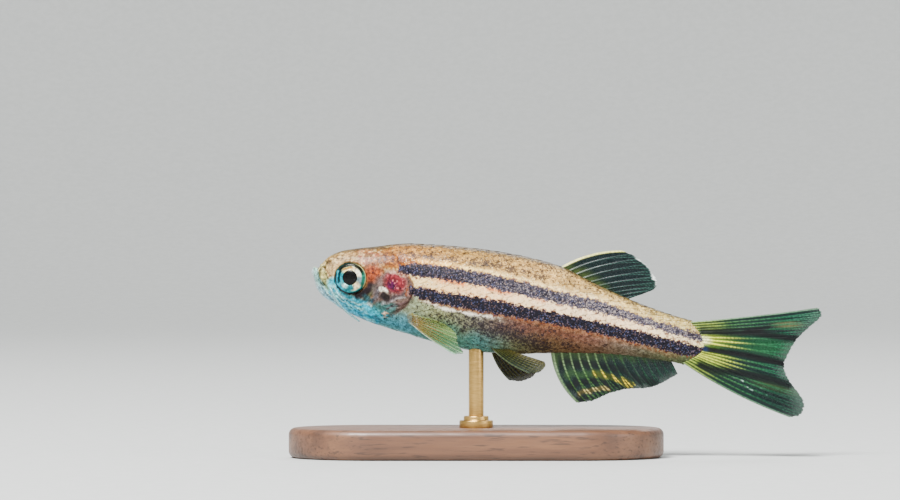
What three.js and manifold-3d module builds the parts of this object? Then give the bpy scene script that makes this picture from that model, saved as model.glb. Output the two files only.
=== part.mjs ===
// A life-size zebra danio, held above a plain display stand.
// Millimetres, +Z up. The snout points towards -X, and the left flank faces -Y.
// The origin is the middle of the stand's underside.

import * as THREE from "three";
import { mergeVertices } from "three/addons/utils/BufferGeometryUtils.js";
import Module from "manifold-3d";

const wasm = await Module();
wasm.setup();

// The fish's own frame has x from the snout to the tail, z up its back and y to its right.
const STANDARD_LENGTH = 32.3; // snout to the end of the flesh at the tail fin
const HEAD_UP = THREE.MathUtils.degToRad(10.5); // how far the fish points up
const SNOUT_HEIGHT = 15; // of the snout above the floor
const GAP = 0.3; // between pieces that meet
const NOSE_ROUND = 1.0; // length of the rounded snout
const TAIL_ROUND = 0.7; // length of the rounded end of the flesh
const BACK_FULLNESS = 0.85; // below 1 the back is broad
const BELLY_KEEL = 1.12; // above 1 the belly narrows to a keel

// Places along the fish: from the snout, back, belly, half width, height of the widest line.
const STATIONS = [
  [0.0, 0.55, -0.6, 0.62, -0.1],
  [0.8, 1.18, -1.3, 0.98, -0.05],
  [2.0, 1.9, -2.2, 1.42, 0.0],
  [3.2, 2.34, -2.74, 1.75, 0.0],
  [5.0, 2.88, -3.2, 2.02, 0.1],
  [6.5, 3.36, -3.44, 2.14, 0.25],
  [8.3, 3.66, -3.62, 2.2, 0.4],
  [11.0, 3.97, -3.92, 2.32, 0.5],
  [14.0, 4.17, -4.0, 2.34, 0.5],
  [17.0, 4.15, -3.68, 2.2, 0.45],
  [19.7, 3.88, -3.12, 1.95, 0.4],
  [22.0, 3.2, -2.68, 1.66, 0.3],
  [25.0, 2.42, -2.24, 1.26, 0.15],
  [28.0, 1.86, -2.03, 0.96, 0.0],
  [30.5, 1.58, -2.0, 0.74, -0.15],
  [32.3, 1.62, -2.12, 0.5, -0.25],
];
const BODY_SIDES = 28;
const SECTIONS = { snout: 4, head: 15, trunk: 9, tail: 10, end: 3 };
const VENT = 19.7; // where the trunk ends and the tail begins

// Head.
const EYE = {
  x: 3.17,
  z: -0.08,
  out: 1.25, // from the middle of the head
  radius: 1.28,
  depth: 0.78,
  pupil: 0.62,
  // share of the pupil's radius, height over the ball
  pupilDome: [
    [1.1, -0.05],
    [1.0, 0.02],
    [0.55, 0.05],
    [0.0, 0.06],
  ],
};
const MOUTH_BACK_SET = 0.42; // how far the lower jaw stands in front of the upper lip
const CLEFT = [
  [-1.0, 0.42],
  [0.1, 0.42],
  [0.42, 0.3],
  [0.75, -0.1],
  [1.1, -0.5],
  [1.45, -0.95],
  [1.75, -1.6],
  [2.0, -2.3],
  [2.2, -3.6],
];
const NOSTRILS = [
  { x: 0.98, z: 0.86, radius: 0.17 },
  { x: 1.3, z: 0.98, radius: 0.2 },
];
const COVER_EDGE = [
  [5.35, 1.7],
  [6.4, 1.95],
  [7.35, 1.6],
  [8.05, 0.85],
  [8.3, -0.1],
  [8.05, -1.15],
  [7.35, -1.95],
  [6.4, -2.5],
  [5.5, -2.72],
  [4.95, -2.3],
  [5.1, -1.4],
  [5.3, -0.4],
  [5.3, 0.7],
];
const COVER_RAISED = 0.13;
const COVER_THICK = 0.55;
const COVER_INNER = 0.6; // how near a gill cover comes to the fish's middle plane
const COVER_STEPS = 22; // sides of a gill cover's outline
const HEAD_END = [
  [6.2, 4.6],
  [6.35, 3.3],
  [6.55, 2.45],
  [7.0, 1.98],
  [7.55, 1.62],
  [8.18, 0.92],
  [8.45, -0.1],
  [8.18, -1.22],
  [7.45, -2.1],
  [6.6, -2.75],
  [6.1, -3.3],
  [5.8, -4.6],
];

// Fins.
const MEMBRANE = 0.5; // thickness between the rays
const MARGIN_THICK = 0.22; // thickness at the free edge
const RAY_RISE = 0.13; // of a ray's crest over the membrane, at its root
const RAY_FOOT = 0.3; // half the width of a ray, as a share of the way to the next
const RAY_REACH = 0.02; // how far ray tips pass the membrane, as a share of their length
const FIN_STEPS = 5; // along each ray
const FIN_SINK = 0.6; // depth of a root before it is cut clear of the body

// Each fin has its number of rays, the line of its roots and the line of its ray tips,
// both from the leading ray on, and the bow of its leading ray.
const DORSAL = {
  rays: 9,
  from: 19.0,
  to: 24.6,
  bow: 0.48,
  lean: 0.35, // of the tips towards the right
  tips: [
    [24.3, 6.08],
    [25.5, 5.72],
    [26.4, 5.2],
    [27.1, 4.5],
    [27.42, 3.9],
    [27.2, 3.45],
    [26.5, 3.05],
  ],
};
const ANAL = {
  rays: 14,
  from: 19.85,
  to: 29.2,
  bow: -0.55,
  wave: 0.22, // of the tips to either side
  waveLength: 7,
  tips: [
    [22.85, -6.65],
    [23.9, -6.3],
    [24.9, -5.6],
    [25.9, -5.05],
    [26.9, -4.7],
    [28.1, -4.45],
    [28.9, -4.05],
    [29.6, -3.5],
    [30.3, -2.85],
  ],
};
const TAIL_MIDDLE = -0.37; // height of the line between the tail fin's lobes
const TAIL_LEAN = 0.3; // of the tips towards the right
const TAIL_TWIST = 0.15; // further right for each mm above the middle, at the tips
const UPPER_TAIL = {
  rays: 9,
  bow: -0.08,
  roots: [
    [31.1, 1.2],
    [31.6, 0.55],
    [31.9, -0.2],
  ],
  tips: [
    [40.55, 4.47],
    [40.95, 4.1],
    [40.75, 3.6],
    [40.3, 3.05],
    [39.8, 2.35],
    [39.3, 1.6],
    [38.9, 0.7],
    [38.65, -0.2],
  ],
};
const LOWER_TAIL = {
  rays: 9,
  bow: -0.32,
  roots: [
    [31.1, -1.75],
    [31.6, -1.15],
    [31.9, -0.55],
  ],
  tips: [
    [39.9, -4.65],
    [40.6, -4.3],
    [40.8, -3.6],
    [40.6, -3.0],
    [40.0, -2.4],
    [39.3, -1.8],
    [38.85, -1.2],
    [38.65, -0.55],
  ],
};
const TAIL_REACH = 9; // from the flesh to the tips of the tail fin

// The pectoral fins fold back and down along the flanks.
const PECTORAL = {
  rays: 9,
  bow: -0.15,
  lift: 1.05, // from its root out to the flank's surface
  splay: 0.75, // of its tips off the flank
  roots: [
    [8.75, -2.65],
    [8.6, -2.25],
    [8.5, -1.85],
  ],
  tips: [
    [12.45, -4.55],
    [13.1, -4.32],
    [12.8, -3.9],
    [12.5, -3.45],
    [12.4, -3.0],
    [12.0, -2.65],
    [11.3, -2.32],
    [10.4, -2.1],
  ],
};

// The left pelvic fin lies back along the belly, and the right one hangs open.
const PELVIC = {
  rays: 7,
  bow: -0.25,
  apart: 0.62, // from the middle plane to each root
  roots: [
    [15.15, -3.45],
    [15.75, -3.42],
    [16.35, -3.38],
  ],
};
const LEFT_PELVIC = {
  splay: 0.7,
  tips: [
    [18.65, -4.95],
    [19.3, -4.75],
    [19.65, -4.4],
    [19.75, -4.05],
    [19.6, -3.8],
  ],
};
const RIGHT_PELVIC = {
  splay: 1.0,
  tips: [
    [17.15, -5.85],
    [17.9, -5.8],
    [18.5, -5.58],
    [19.0, -5.18],
    [19.2, -4.7],
  ],
};

// Display stand.
const ROD_AT = 14.1; // where the rod meets the belly, from the snout
const ROD_RADIUS = 0.6;
const BASE = { length: 30, width: 14, height: 2.4, socket: 1.5, edge: 0.4 };

// A smooth function of x that passes through each [x, value].
function through(points) {
  const slopes = points.map((_, i) => {
    const a = points[Math.max(i - 1, 0)];
    const b = points[Math.min(i + 1, points.length - 1)];
    return (b[1] - a[1]) / (b[0] - a[0]);
  });
  return (x) => {
    const next = points.findIndex((p) => p[0] > x);
    const i = next < 0 ? points.length - 2 : Math.max(next - 1, 0);
    const [x0, y0] = points[i];
    const [x1, y1] = points[i + 1];
    const w = x1 - x0;
    const t = THREE.MathUtils.clamp((x - x0) / w, 0, 1);
    const u = 1 - t;
    return (
      y0 * (1 + 2 * t) * u * u +
      slopes[i] * w * t * u * u +
      y1 * t * t * (3 - 2 * t) -
      slopes[i + 1] * w * t * t * u
    );
  };
}

const column = (k) => through(STATIONS.map((s) => [s[0], s[k]]));
const backAt = column(1);
const bellyAt = column(2);
const halfWidthAt = column(3);
const widestAt = column(4);

// The body's cross-section at x: its rounded ends shrink towards the widest line.
function section(x) {
  const nose = Math.min(x / NOSE_ROUND, 1);
  const end = Math.min((STANDARD_LENGTH - x) / TAIL_ROUND, 1);
  const full = Math.sqrt(Math.max(nose * (2 - nose) * end * (2 - end), 0));
  const mid = widestAt(x);
  return {
    mid,
    up: (backAt(x) - mid) * full,
    down: (mid - bellyAt(x)) * full,
    half: halfWidthAt(x) * full,
  };
}

// The half width of the body at x and height z, or 0 outside it.
function flankAt(x, z) {
  const s = section(x);
  const rise = z > s.mid ? (z - s.mid) / s.up : (s.mid - z) / s.down;
  const across = Math.sqrt(Math.max(1 - rise * rise, 0));
  return s.half * Math.pow(across, z > s.mid ? BACK_FULLNESS : BELLY_KEEL);
}

// Places of the body's sections, closer together on the snout and head.
function sectionPlaces() {
  const places = [];
  const headStart = 0.6;
  const headEnd = 8.6;
  const endStart = STANDARD_LENGTH - TAIL_ROUND;
  for (let i = 0; i < SECTIONS.snout; i++)
    places.push(headStart * (i / SECTIONS.snout) ** 2);
  for (let i = 0; i < SECTIONS.head; i++)
    places.push(headStart + ((headEnd - headStart) * i) / SECTIONS.head);
  for (let i = 0; i < SECTIONS.trunk; i++)
    places.push(headEnd + ((VENT - headEnd) * i) / SECTIONS.trunk);
  for (let i = 0; i < SECTIONS.tail; i++)
    places.push(VENT + ((endStart - VENT) * i) / SECTIONS.tail);
  for (let i = 0; i <= SECTIONS.end; i++)
    places.push(STANDARD_LENGTH - TAIL_ROUND * (1 - i / SECTIONS.end) ** 2);
  return places;
}

// The whole body from snout to tail root, its surface moved out by grow.
function bodyGeometry(grow = 0) {
  const places = sectionPlaces();
  const rows = places.length - 1;
  const geometry = new THREE.SphereGeometry(1, BODY_SIDES, rows);
  const position = geometry.attributes.position;
  const uv = geometry.attributes.uv;
  for (let i = 0; i < position.count; i++) {
    const row = Math.round((1 - uv.getY(i)) * rows);
    const s = section(places[row]);
    const pole = row === 0 || row === rows;
    const angle = 2 * Math.PI * uv.getX(i);
    const c = Math.cos(angle);
    const h = Math.sin(angle);
    const power = h > 0 ? BACK_FULLNESS : BELLY_KEEL;
    const shape = Math.sign(c) * Math.pow(Math.abs(c), power);
    const share = row / rows;
    position.setXYZ(
      i,
      places[row] + grow * (2 * share - 1),
      pole ? 0 : (s.half + grow) * shape,
      pole ? s.mid : s.mid + ((h > 0 ? s.up : s.down) + grow) * h,
    );
  }
  return geometry;
}

// A geometry as a closed solid whose faces point out.
function solid(geometry) {
  const bare = new THREE.BufferGeometry();
  bare.setAttribute("position", geometry.attributes.position.clone());
  if (geometry.index) bare.setIndex(geometry.index.clone());
  const merged = mergeVertices(bare, 1e-4);
  const corners = new Uint32Array(merged.index.array);
  const whole = [];
  for (let i = 0; i < corners.length; i += 3) {
    const [a, b, c] = corners.subarray(i, i + 3);
    if (a !== b && b !== c && a !== c) whole.push(a, b, c);
  }
  const make = (triangles) =>
    new wasm.Manifold(
      new wasm.Mesh({
        numProp: 3,
        vertProperties: merged.attributes.position.array,
        triVerts: new Uint32Array(triangles),
      }),
    );
  const made = make(whole);
  if (made.volume() > 0) return made;
  const turned = [];
  for (let i = 0; i < whole.length; i += 3)
    turned.push(whole[i], whole[i + 2], whole[i + 1]);
  return make(turned);
}

// The largest closed surface of a solid.
function largest(whole) {
  const pieces = whole.decompose();
  return pieces.reduce((a, b) => (b.volume() > a.volume() ? b : a));
}

// A solid as a three.js geometry.
function geometryOf(whole) {
  const mesh = whole.getMesh();
  const places = new Float32Array(mesh.numVert * 3);
  for (let i = 0; i < mesh.numVert; i++)
    places.set(mesh.vertProperties.subarray(i * mesh.numProp, i * mesh.numProp + 3), i * 3);
  const geometry = new THREE.BufferGeometry();
  geometry.setAttribute("position", new THREE.BufferAttribute(places, 3));
  geometry.setIndex(new THREE.BufferAttribute(mesh.triVerts, 1));
  geometry.computeVertexNormals();
  return geometry;
}

// A flat outline in x and z, carried sideways from one y to another.
function slabAcross(outline, from, to) {
  const shape = new THREE.Shape(outline.map(([x, z]) => new THREE.Vector2(x, z)));
  const geometry = new THREE.ExtrudeGeometry(shape, {
    depth: to - from,
    bevelEnabled: false,
  });
  geometry.rotateX(Math.PI / 2);
  geometry.translate(0, to, 0);
  return solid(geometry);
}

// The same, on one side of the fish only, from a distance off its middle plane.
function slabBeside(outline, side, from) {
  return side < 0 ? slabAcross(outline, -6, -from) : slabAcross(outline, from, 6);
}

// Points of a smooth line through the given ones, moved sideways by shift.
function besideLine(points, shift, steps = 16, closed = false) {
  const curve = new THREE.CatmullRomCurve3(
    points.map(([x, z]) => new THREE.Vector3(x, 0, z)),
    closed,
  );
  const found = [];
  for (let i = 0; i < steps + (closed ? 0 : 1); i++) {
    const at = curve.getPoint(i / steps);
    const way = curve.getTangent(i / steps);
    found.push([at.x + way.z * shift, at.z - way.x * shift]);
  }
  return found;
}

// A band that follows a line, gap wide, for a thin cut across the fish.
function cutAlong(points, width) {
  const one = besideLine(points, width / 2);
  const other = besideLine(points, -width / 2);
  return slabAcross([...one, ...other.reverse()], -6, 6);
}

const body = solid(bodyGeometry());
const bodyGrown = solid(bodyGeometry(GAP));

// A round, tapering feeler or lip along a curve.
function taperedTube(points, radiusAt, sides, steps) {
  const curve = new THREE.CatmullRomCurve3(points.map((p) => new THREE.Vector3(...p)));
  const frames = curve.computeFrenetFrames(steps, false);
  const geometry = new THREE.CylinderGeometry(1, 1, 1, sides, steps);
  const position = geometry.attributes.position;
  for (let i = 0; i < position.count; i++) {
    const step = Math.round((position.getY(i) + 0.5) * steps);
    const at = curve.getPointAt(step / steps);
    const radius = radiusAt(step / steps);
    at.addScaledVector(frames.normals[step], position.getX(i) * radius);
    at.addScaledVector(frames.binormals[step], position.getZ(i) * radius);
    position.setXYZ(i, at.x, at.y, at.z);
  }
  return solid(geometry);
}

// A thin sheet: at(column, t) gives a point of its middle and half its thickness along y.
function sheet(columns, rows, at) {
  const plane = new THREE.PlaneGeometry(1, 1, columns.length - 1, rows);
  const count = plane.attributes.position.count;
  const places = new Float32Array(count * 6);
  for (let i = 0; i < count; i++) {
    const t = 1 - Math.floor(i / columns.length) / rows;
    const { x, y, z, half } = at(columns[i % columns.length], t);
    places.set([x, y - half, z], i * 3);
    places.set([x, y + half, z], (count + i) * 3);
  }
  const one = Array.from(plane.index.array);
  const corners = [];
  for (let i = 0; i < one.length; i += 3) {
    corners.push(one[i], one[i + 1], one[i + 2]);
    corners.push(count + one[i], count + one[i + 2], count + one[i + 1]);
  }
  const wide = columns.length;
  const rim = [];
  for (let i = 0; i < wide - 1; i++) rim.push(i);
  for (let j = 0; j < rows; j++) rim.push(j * wide + wide - 1);
  for (let i = wide - 1; i > 0; i--) rim.push(rows * wide + i);
  for (let j = rows; j > 0; j--) rim.push(j * wide);
  rim.forEach((a, i) => {
    const b = rim[(i + 1) % rim.length];
    corners.push(a, b, count + a, b, count + b, count + a);
  });
  const geometry = new THREE.BufferGeometry();
  geometry.setAttribute("position", new THREE.BufferAttribute(places, 3));
  geometry.setIndex(corners);
  return solid(geometry);
}

// Places across a fin, three for each ray: its foot, its crest and its other foot.
function rayColumns(rays) {
  const found = [];
  for (let ray = 0; ray < rays; ray++)
    for (let edge = 0; edge < 3; edge++)
      found.push({
        s: (ray + edge * RAY_FOOT) / (rays - 1 + 2 * RAY_FOOT),
        crest: edge === 1,
      });
  return found;
}

// A fin: a fan of rays raised on a membrane, from a root line to a free margin.
function fanFin({ rays, roots, tips, bow, sideAt }) {
  const line = (points) => new THREE.SplineCurve(points.map((p) => new THREE.Vector2(...p)));
  const rootLine = line(roots);
  const tipLine = line(tips);
  return sheet(rayColumns(rays), FIN_STEPS, ({ s, crest }, step) => {
    const t = crest ? step : step * (1 - RAY_REACH);
    const root = rootLine.getPoint(s);
    const along = tipLine.getPoint(s).sub(root);
    const bend = (4 * t * (1 - t) * bow * (1 - s)) / along.length();
    const x = root.x + along.x * t - along.y * bend;
    const z = root.y + along.y * t + along.x * bend;
    const thin = THREE.MathUtils.smoothstep(step, 0.75, 1);
    const flat = THREE.MathUtils.lerp(MEMBRANE, MARGIN_THICK, thin) / 2;
    const rise = crest ? RAY_RISE * (1 - 0.7 * step) : 0;
    return { x, z, y: sideAt(x, z, t), half: flat + rise };
  });
}

// A root line that follows the back or belly, sunk into the body.
function sunkRoots(edgeAt, { from, to }, sink) {
  const points = 5;
  const found = [];
  for (let i = 0; i < points; i++) {
    const x = from + ((to - from) * i) / (points - 1);
    found.push([x, edgeAt(x) + sink]);
  }
  return found;
}

// Cuts a fin or feeler clear of the body, and keeps what stands outside it.
const clearOfBody = (whole) => largest(whole.subtract(bodyGrown));

function makeDorsalFin() {
  const roots = sunkRoots(backAt, DORSAL, -FIN_SINK);
  const sideAt = (x, z, t) => DORSAL.lean * t * t;
  return clearOfBody(fanFin({ ...DORSAL, roots, sideAt }));
}

function makeAnalFin() {
  const roots = sunkRoots(bellyAt, ANAL, FIN_SINK);
  const turn = (2 * Math.PI) / ANAL.waveLength;
  const sideAt = (x, z, t) => ANAL.wave * t * Math.sin((x - ANAL.from) * turn);
  return clearOfBody(fanFin({ ...ANAL, roots, sideAt }));
}

// The tail fin twists a little: its upper lobe leans right and its lower lobe left.
function tailSide(x, z) {
  const out = Math.max((x - STANDARD_LENGTH) / TAIL_REACH, 0);
  return TAIL_LEAN * out * out + TAIL_TWIST * out * (z - TAIL_MIDDLE);
}

const makeTailLobe = (lobe) => clearOfBody(fanFin({ ...lobe, sideAt: tailSide }));

function makePectoralFin(side) {
  const [rootX, rootZ] = PECTORAL.roots[1];
  const rootSide = flankAt(rootX, rootZ) - FIN_SINK;
  const sideAt = (x, z, t) => {
    const lift = PECTORAL.lift * THREE.MathUtils.smoothstep(t, 0, 0.22);
    return side * (rootSide + lift + PECTORAL.splay * t);
  };
  return clearOfBody(fanFin({ ...PECTORAL, sideAt }));
}

function makePelvicFin(side, pose) {
  const sideAt = (x, z, t) => side * (PELVIC.apart + pose.splay * t);
  return clearOfBody(fanFin({ ...PELVIC, tips: pose.tips, sideAt }));
}

// An eye: a flattened ball, its pupil a low dome with a groove round it.
function makeEye(side) {
  const heightAt = (radius) => EYE.depth * Math.sqrt(1 - (radius / EYE.radius) ** 2);
  const profile = [];
  const backSteps = 4;
  for (let i = 0; i < backSteps; i++) {
    const radius = EYE.radius * Math.sin((Math.PI / 2) * (i / backSteps));
    profile.push(new THREE.Vector2(radius, -heightAt(radius)));
  }
  profile.push(new THREE.Vector2(EYE.radius, 0));
  for (const share of [0.96, 0.86, 0.72, 0.57]) {
    const radius = EYE.radius * share;
    profile.push(new THREE.Vector2(radius, heightAt(radius)));
  }
  for (const [share, rise] of EYE.pupilDome) {
    const radius = EYE.pupil * share;
    profile.push(new THREE.Vector2(radius, heightAt(radius) + rise));
  }
  const geometry = new THREE.LatheGeometry(profile, 18);
  if (side < 0) geometry.rotateX(Math.PI);
  geometry.translate(EYE.x, side * EYE.out, EYE.z);
  return solid(geometry);
}

function eyeSocket(side) {
  const geometry = new THREE.SphereGeometry(1, 18, 10);
  geometry.scale(EYE.radius + GAP, EYE.depth + GAP, EYE.radius + GAP);
  geometry.translate(EYE.x, side * EYE.out, EYE.z);
  return solid(geometry);
}

function nostril(side, { x, z, radius }) {
  const geometry = new THREE.SphereGeometry(radius, 8, 6);
  geometry.translate(x, side * flankAt(x, z), z);
  return solid(geometry);
}

// A gill cover: a raised plate let into the side of the head.
function makeGillCover(side) {
  const outline = besideLine(COVER_EDGE, 0, COVER_STEPS, true);
  const raised = solid(bodyGeometry(COVER_RAISED));
  const under = solid(bodyGeometry(COVER_RAISED - COVER_THICK));
  return largest(raised.intersect(slabBeside(outline, side, COVER_INNER)).subtract(under));
}

// The pocket that a gill cover lies in, a gap wider and deeper than the plate.
function coverPocket(side) {
  const outline = besideLine(COVER_EDGE, -GAP, COVER_STEPS, true);
  const under = solid(bodyGeometry(COVER_RAISED - COVER_THICK - GAP));
  return slabBeside(outline, side, COVER_INNER - GAP).subtract(under);
}

// A lip: a thin roll from one corner of the mouth round to the other.
function lip(places, radius) {
  const left = places.map(([x, z, share]) => [x, -flankAt(x, z) * share, z]);
  const right = left.slice(0, -1).map(([x, y, z]) => [x, -y, z]);
  return taperedTube([...left, ...right.reverse()], () => radius, 6, 14);
}

const upperLip = () =>
  lip(
    [
      [1.2, -0.32, 1],
      [0.92, 0.0, 1],
      [0.68, 0.3, 0.98],
      [0.56, 0.46, 0.6],
      [0.52, 0.5, 0],
    ],
    0.17,
  );

const lowerLip = () =>
  lip(
    [
      [1.1, -0.82, 1],
      [0.8, -0.5, 1],
      [0.5, -0.12, 1],
      [0.24, 0.12, 0.6],
      [0.16, 0.14, 0],
    ],
    0.15,
  );

// The notch that sets the upper lip back behind the lower jaw's tip.
function lipNotch() {
  const outline = [
    [-1, 0.42],
    [MOUTH_BACK_SET, 0.42],
    [MOUTH_BACK_SET, 1.4],
    [-1, 1.4],
  ];
  return slabAcross(outline, -6, 6);
}

const headCut = cutAlong(HEAD_END, GAP);
const mouthCut = cutAlong(CLEFT, GAP).add(lipNotch());
const ventCut = cutAlong(
  [
    [VENT, 6],
    [VENT, 0],
    [VENT, -6],
  ],
  GAP,
);

// The part of a cut body that holds a point near x on the fish's middle.
function pieceNear(pieces, x, z) {
  const from = (piece) => {
    const { min, max } = piece.boundingBox();
    return Math.hypot((min[0] + max[0]) / 2 - x, (min[2] + max[2]) / 2 - z);
  };
  return pieces.reduce((a, b) => (from(b) < from(a) ? b : a));
}

const bodyPieces = body.subtract(headCut).subtract(mouthCut).subtract(ventCut).decompose();

function makeHead() {
  let head = pieceNear(bodyPieces, 4.5, 0).add(upperLip().subtract(mouthCut));
  for (const side of [-1, 1]) {
    head = head.subtract(eyeSocket(side)).subtract(coverPocket(side));
    for (const pit of NOSTRILS) head = head.subtract(nostril(side, pit));
  }
  return largest(head);
}

function makeLowerJaw() {
  const jaw = pieceNear(bodyPieces, 0.9, -1.2);
  return largest(jaw.add(lowerLip().subtract(mouthCut)).subtract(mouthCut));
}

// A barbel: a soft feeler that tapers to its tip.
function makeBarbel(side, path, rootRadius) {
  const points = path.map(([x, y, z]) => [x, side * y, z]);
  const radiusAt = (t) => THREE.MathUtils.lerp(rootRadius, 0.1, t ** 1.4);
  return clearOfBody(taperedTube(points, radiusAt, 6, 10));
}

const MOUTH_BARBEL = [
  [1.7, 0.75, -1.05],
  [1.78, 1.35, -1.25],
  [2.3, 1.5, -1.9],
  [3.3, 1.2, -2.75],
  [4.5, 0.95, -3.36],
];
const SNOUT_BARBEL = [
  [0.95, 0.6, 0.55],
  [0.88, 1.3, 0.55],
  [0.66, 1.85, 0.36],
  [0.54, 2.1, -0.02],
];

// The fish's frame set on the stand: the rod meets the belly above the origin.
const fish = new THREE.Group();
fish.rotation.y = HEAD_UP;
const rodPoint = new THREE.Vector3(ROD_AT, 0, bellyAt(ROD_AT)).applyEuler(fish.rotation);
fish.position.set(-rodPoint.x, 0, SNOUT_HEIGHT);
fish.updateMatrix();

// The stand's rod, its top cut to the belly's shape with a gap.
function makeRod() {
  const top = SNOUT_HEIGHT + rodPoint.z + 1;
  const bottom = BASE.height - BASE.socket + GAP;
  const geometry = new THREE.CylinderGeometry(ROD_RADIUS, ROD_RADIUS, top - bottom, 16);
  geometry.rotateX(Math.PI / 2);
  geometry.translate(0, 0, (top + bottom) / 2);
  const belly = bodyGeometry(GAP);
  belly.applyMatrix4(fish.matrix);
  return largest(solid(geometry).subtract(solid(belly)));
}

// The stand's base: an oblong plate with round ends and a blind socket for the rod.
function makeBase() {
  const half = BASE.width / 2 - BASE.edge;
  const straight = BASE.length / 2 - BASE.width / 2;
  const shape = new THREE.Shape();
  shape.absarc(straight, 0, half, -Math.PI / 2, Math.PI / 2);
  shape.absarc(-straight, 0, half, Math.PI / 2, (3 * Math.PI) / 2);
  const geometry = new THREE.ExtrudeGeometry(shape, {
    depth: BASE.height - 2 * BASE.edge,
    bevelThickness: BASE.edge,
    bevelSize: BASE.edge,
    bevelSegments: 2,
    curveSegments: 10,
  });
  geometry.translate(0, 0, BASE.edge);
  const socket = new THREE.CylinderGeometry(ROD_RADIUS + GAP, ROD_RADIUS + GAP, 4, 16);
  socket.rotateX(Math.PI / 2);
  socket.translate(0, 0, BASE.height - BASE.socket + 2);
  return largest(solid(geometry).subtract(solid(socket)));
}

const finish = (color, roughness, metalness = 0) =>
  new THREE.MeshStandardMaterial({ color, roughness, metalness });
const FINISHES = {
  head: finish("#c7b08c", 0.4),
  cheek: finish("#b8706a", 0.35),
  flank: finish("#8f8472", 0.38),
  fin: finish("#8d9a5e", 0.45),
  eye: finish("#7fc6c4", 0.15),
  barbel: finish("#b9b79c", 0.45),
  rod: finish("#b08d4a", 0.3, 1),
  base: finish("#3b2a20", 0.45),
};

function node(parent, name, whole, material) {
  const mesh = new THREE.Mesh(geometryOf(whole), material);
  mesh.name = name;
  parent.add(mesh);
}

const part = new THREE.Group();
part.add(fish);
node(fish, "head", makeHead(), FINISHES.head);
node(fish, "lower_jaw", makeLowerJaw(), FINISHES.head);
node(fish, "trunk", pieceNear(bodyPieces, 13, 0), FINISHES.flank);
node(fish, "tail", pieceNear(bodyPieces, 26, 0), FINISHES.flank);
node(fish, "dorsal_fin", makeDorsalFin(), FINISHES.fin);
node(fish, "anal_fin", makeAnalFin(), FINISHES.fin);
node(fish, "tail_fin_upper", makeTailLobe(UPPER_TAIL), FINISHES.fin);
node(fish, "tail_fin_lower", makeTailLobe(LOWER_TAIL), FINISHES.fin);
node(fish, "pelvic_fin_left", makePelvicFin(-1, LEFT_PELVIC), FINISHES.fin);
node(fish, "pelvic_fin_right", makePelvicFin(1, RIGHT_PELVIC), FINISHES.fin);
for (const [side, word] of [
  [-1, "left"],
  [1, "right"],
]) {
  node(fish, `gill_cover_${word}`, makeGillCover(side), FINISHES.cheek);
  node(fish, `eye_${word}`, makeEye(side), FINISHES.eye);
  node(fish, `pectoral_fin_${word}`, makePectoralFin(side), FINISHES.fin);
  node(fish, `mouth_barbel_${word}`, makeBarbel(side, MOUTH_BARBEL, 0.26), FINISHES.barbel);
  node(fish, `snout_barbel_${word}`, makeBarbel(side, SNOUT_BARBEL, 0.25), FINISHES.barbel);
}
node(part, "stand_rod", makeRod(), FINISHES.rod);
node(part, "stand_base", makeBase(), FINISHES.base);

export default part;
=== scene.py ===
# %% [markdown]
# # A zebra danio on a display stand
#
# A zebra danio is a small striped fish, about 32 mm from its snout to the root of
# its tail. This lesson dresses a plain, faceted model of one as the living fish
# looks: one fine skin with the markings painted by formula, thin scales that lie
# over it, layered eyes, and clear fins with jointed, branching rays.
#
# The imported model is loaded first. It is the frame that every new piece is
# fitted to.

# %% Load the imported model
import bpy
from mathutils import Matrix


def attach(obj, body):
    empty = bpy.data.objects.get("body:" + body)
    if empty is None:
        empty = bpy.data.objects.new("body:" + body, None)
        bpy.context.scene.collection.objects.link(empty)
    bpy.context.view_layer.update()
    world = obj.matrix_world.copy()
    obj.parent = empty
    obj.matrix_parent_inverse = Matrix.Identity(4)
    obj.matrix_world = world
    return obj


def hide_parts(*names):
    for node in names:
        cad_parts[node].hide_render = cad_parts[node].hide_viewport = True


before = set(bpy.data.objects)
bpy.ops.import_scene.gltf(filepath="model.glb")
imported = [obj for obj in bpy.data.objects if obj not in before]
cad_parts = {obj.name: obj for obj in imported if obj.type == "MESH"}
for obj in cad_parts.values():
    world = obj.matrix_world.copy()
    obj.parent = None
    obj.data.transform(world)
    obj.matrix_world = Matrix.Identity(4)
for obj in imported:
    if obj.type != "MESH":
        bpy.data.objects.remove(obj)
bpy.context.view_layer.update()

import functools
import math

import bpy
import numpy as np
from mathutils import Vector

MM = 0.001
print("nodes:", len(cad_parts))

# %% [markdown]
# ## The fish's own frame
#
# On paper a fish is drawn level, so the sizes below are in millimetres in the
# fish's own frame: x from the snout to the tail, y to its right and z up its back.
# The real fish swims a little nose-up, so one function turns and lifts these
# points onto the stand, whose rod stands at the middle of the base.

# %% Sizes of the body and its place on the stand
LENGTH = 32.3
HEAD_UP = math.radians(10.5)
SNOUT_HEIGHT = 15.0
ROD_AT = 14.1
BACK_FULLNESS = 0.85
BELLY_KEEL = 1.12
NOSE_ROUND = 1.0
TAIL_ROUND = 0.7

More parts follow.
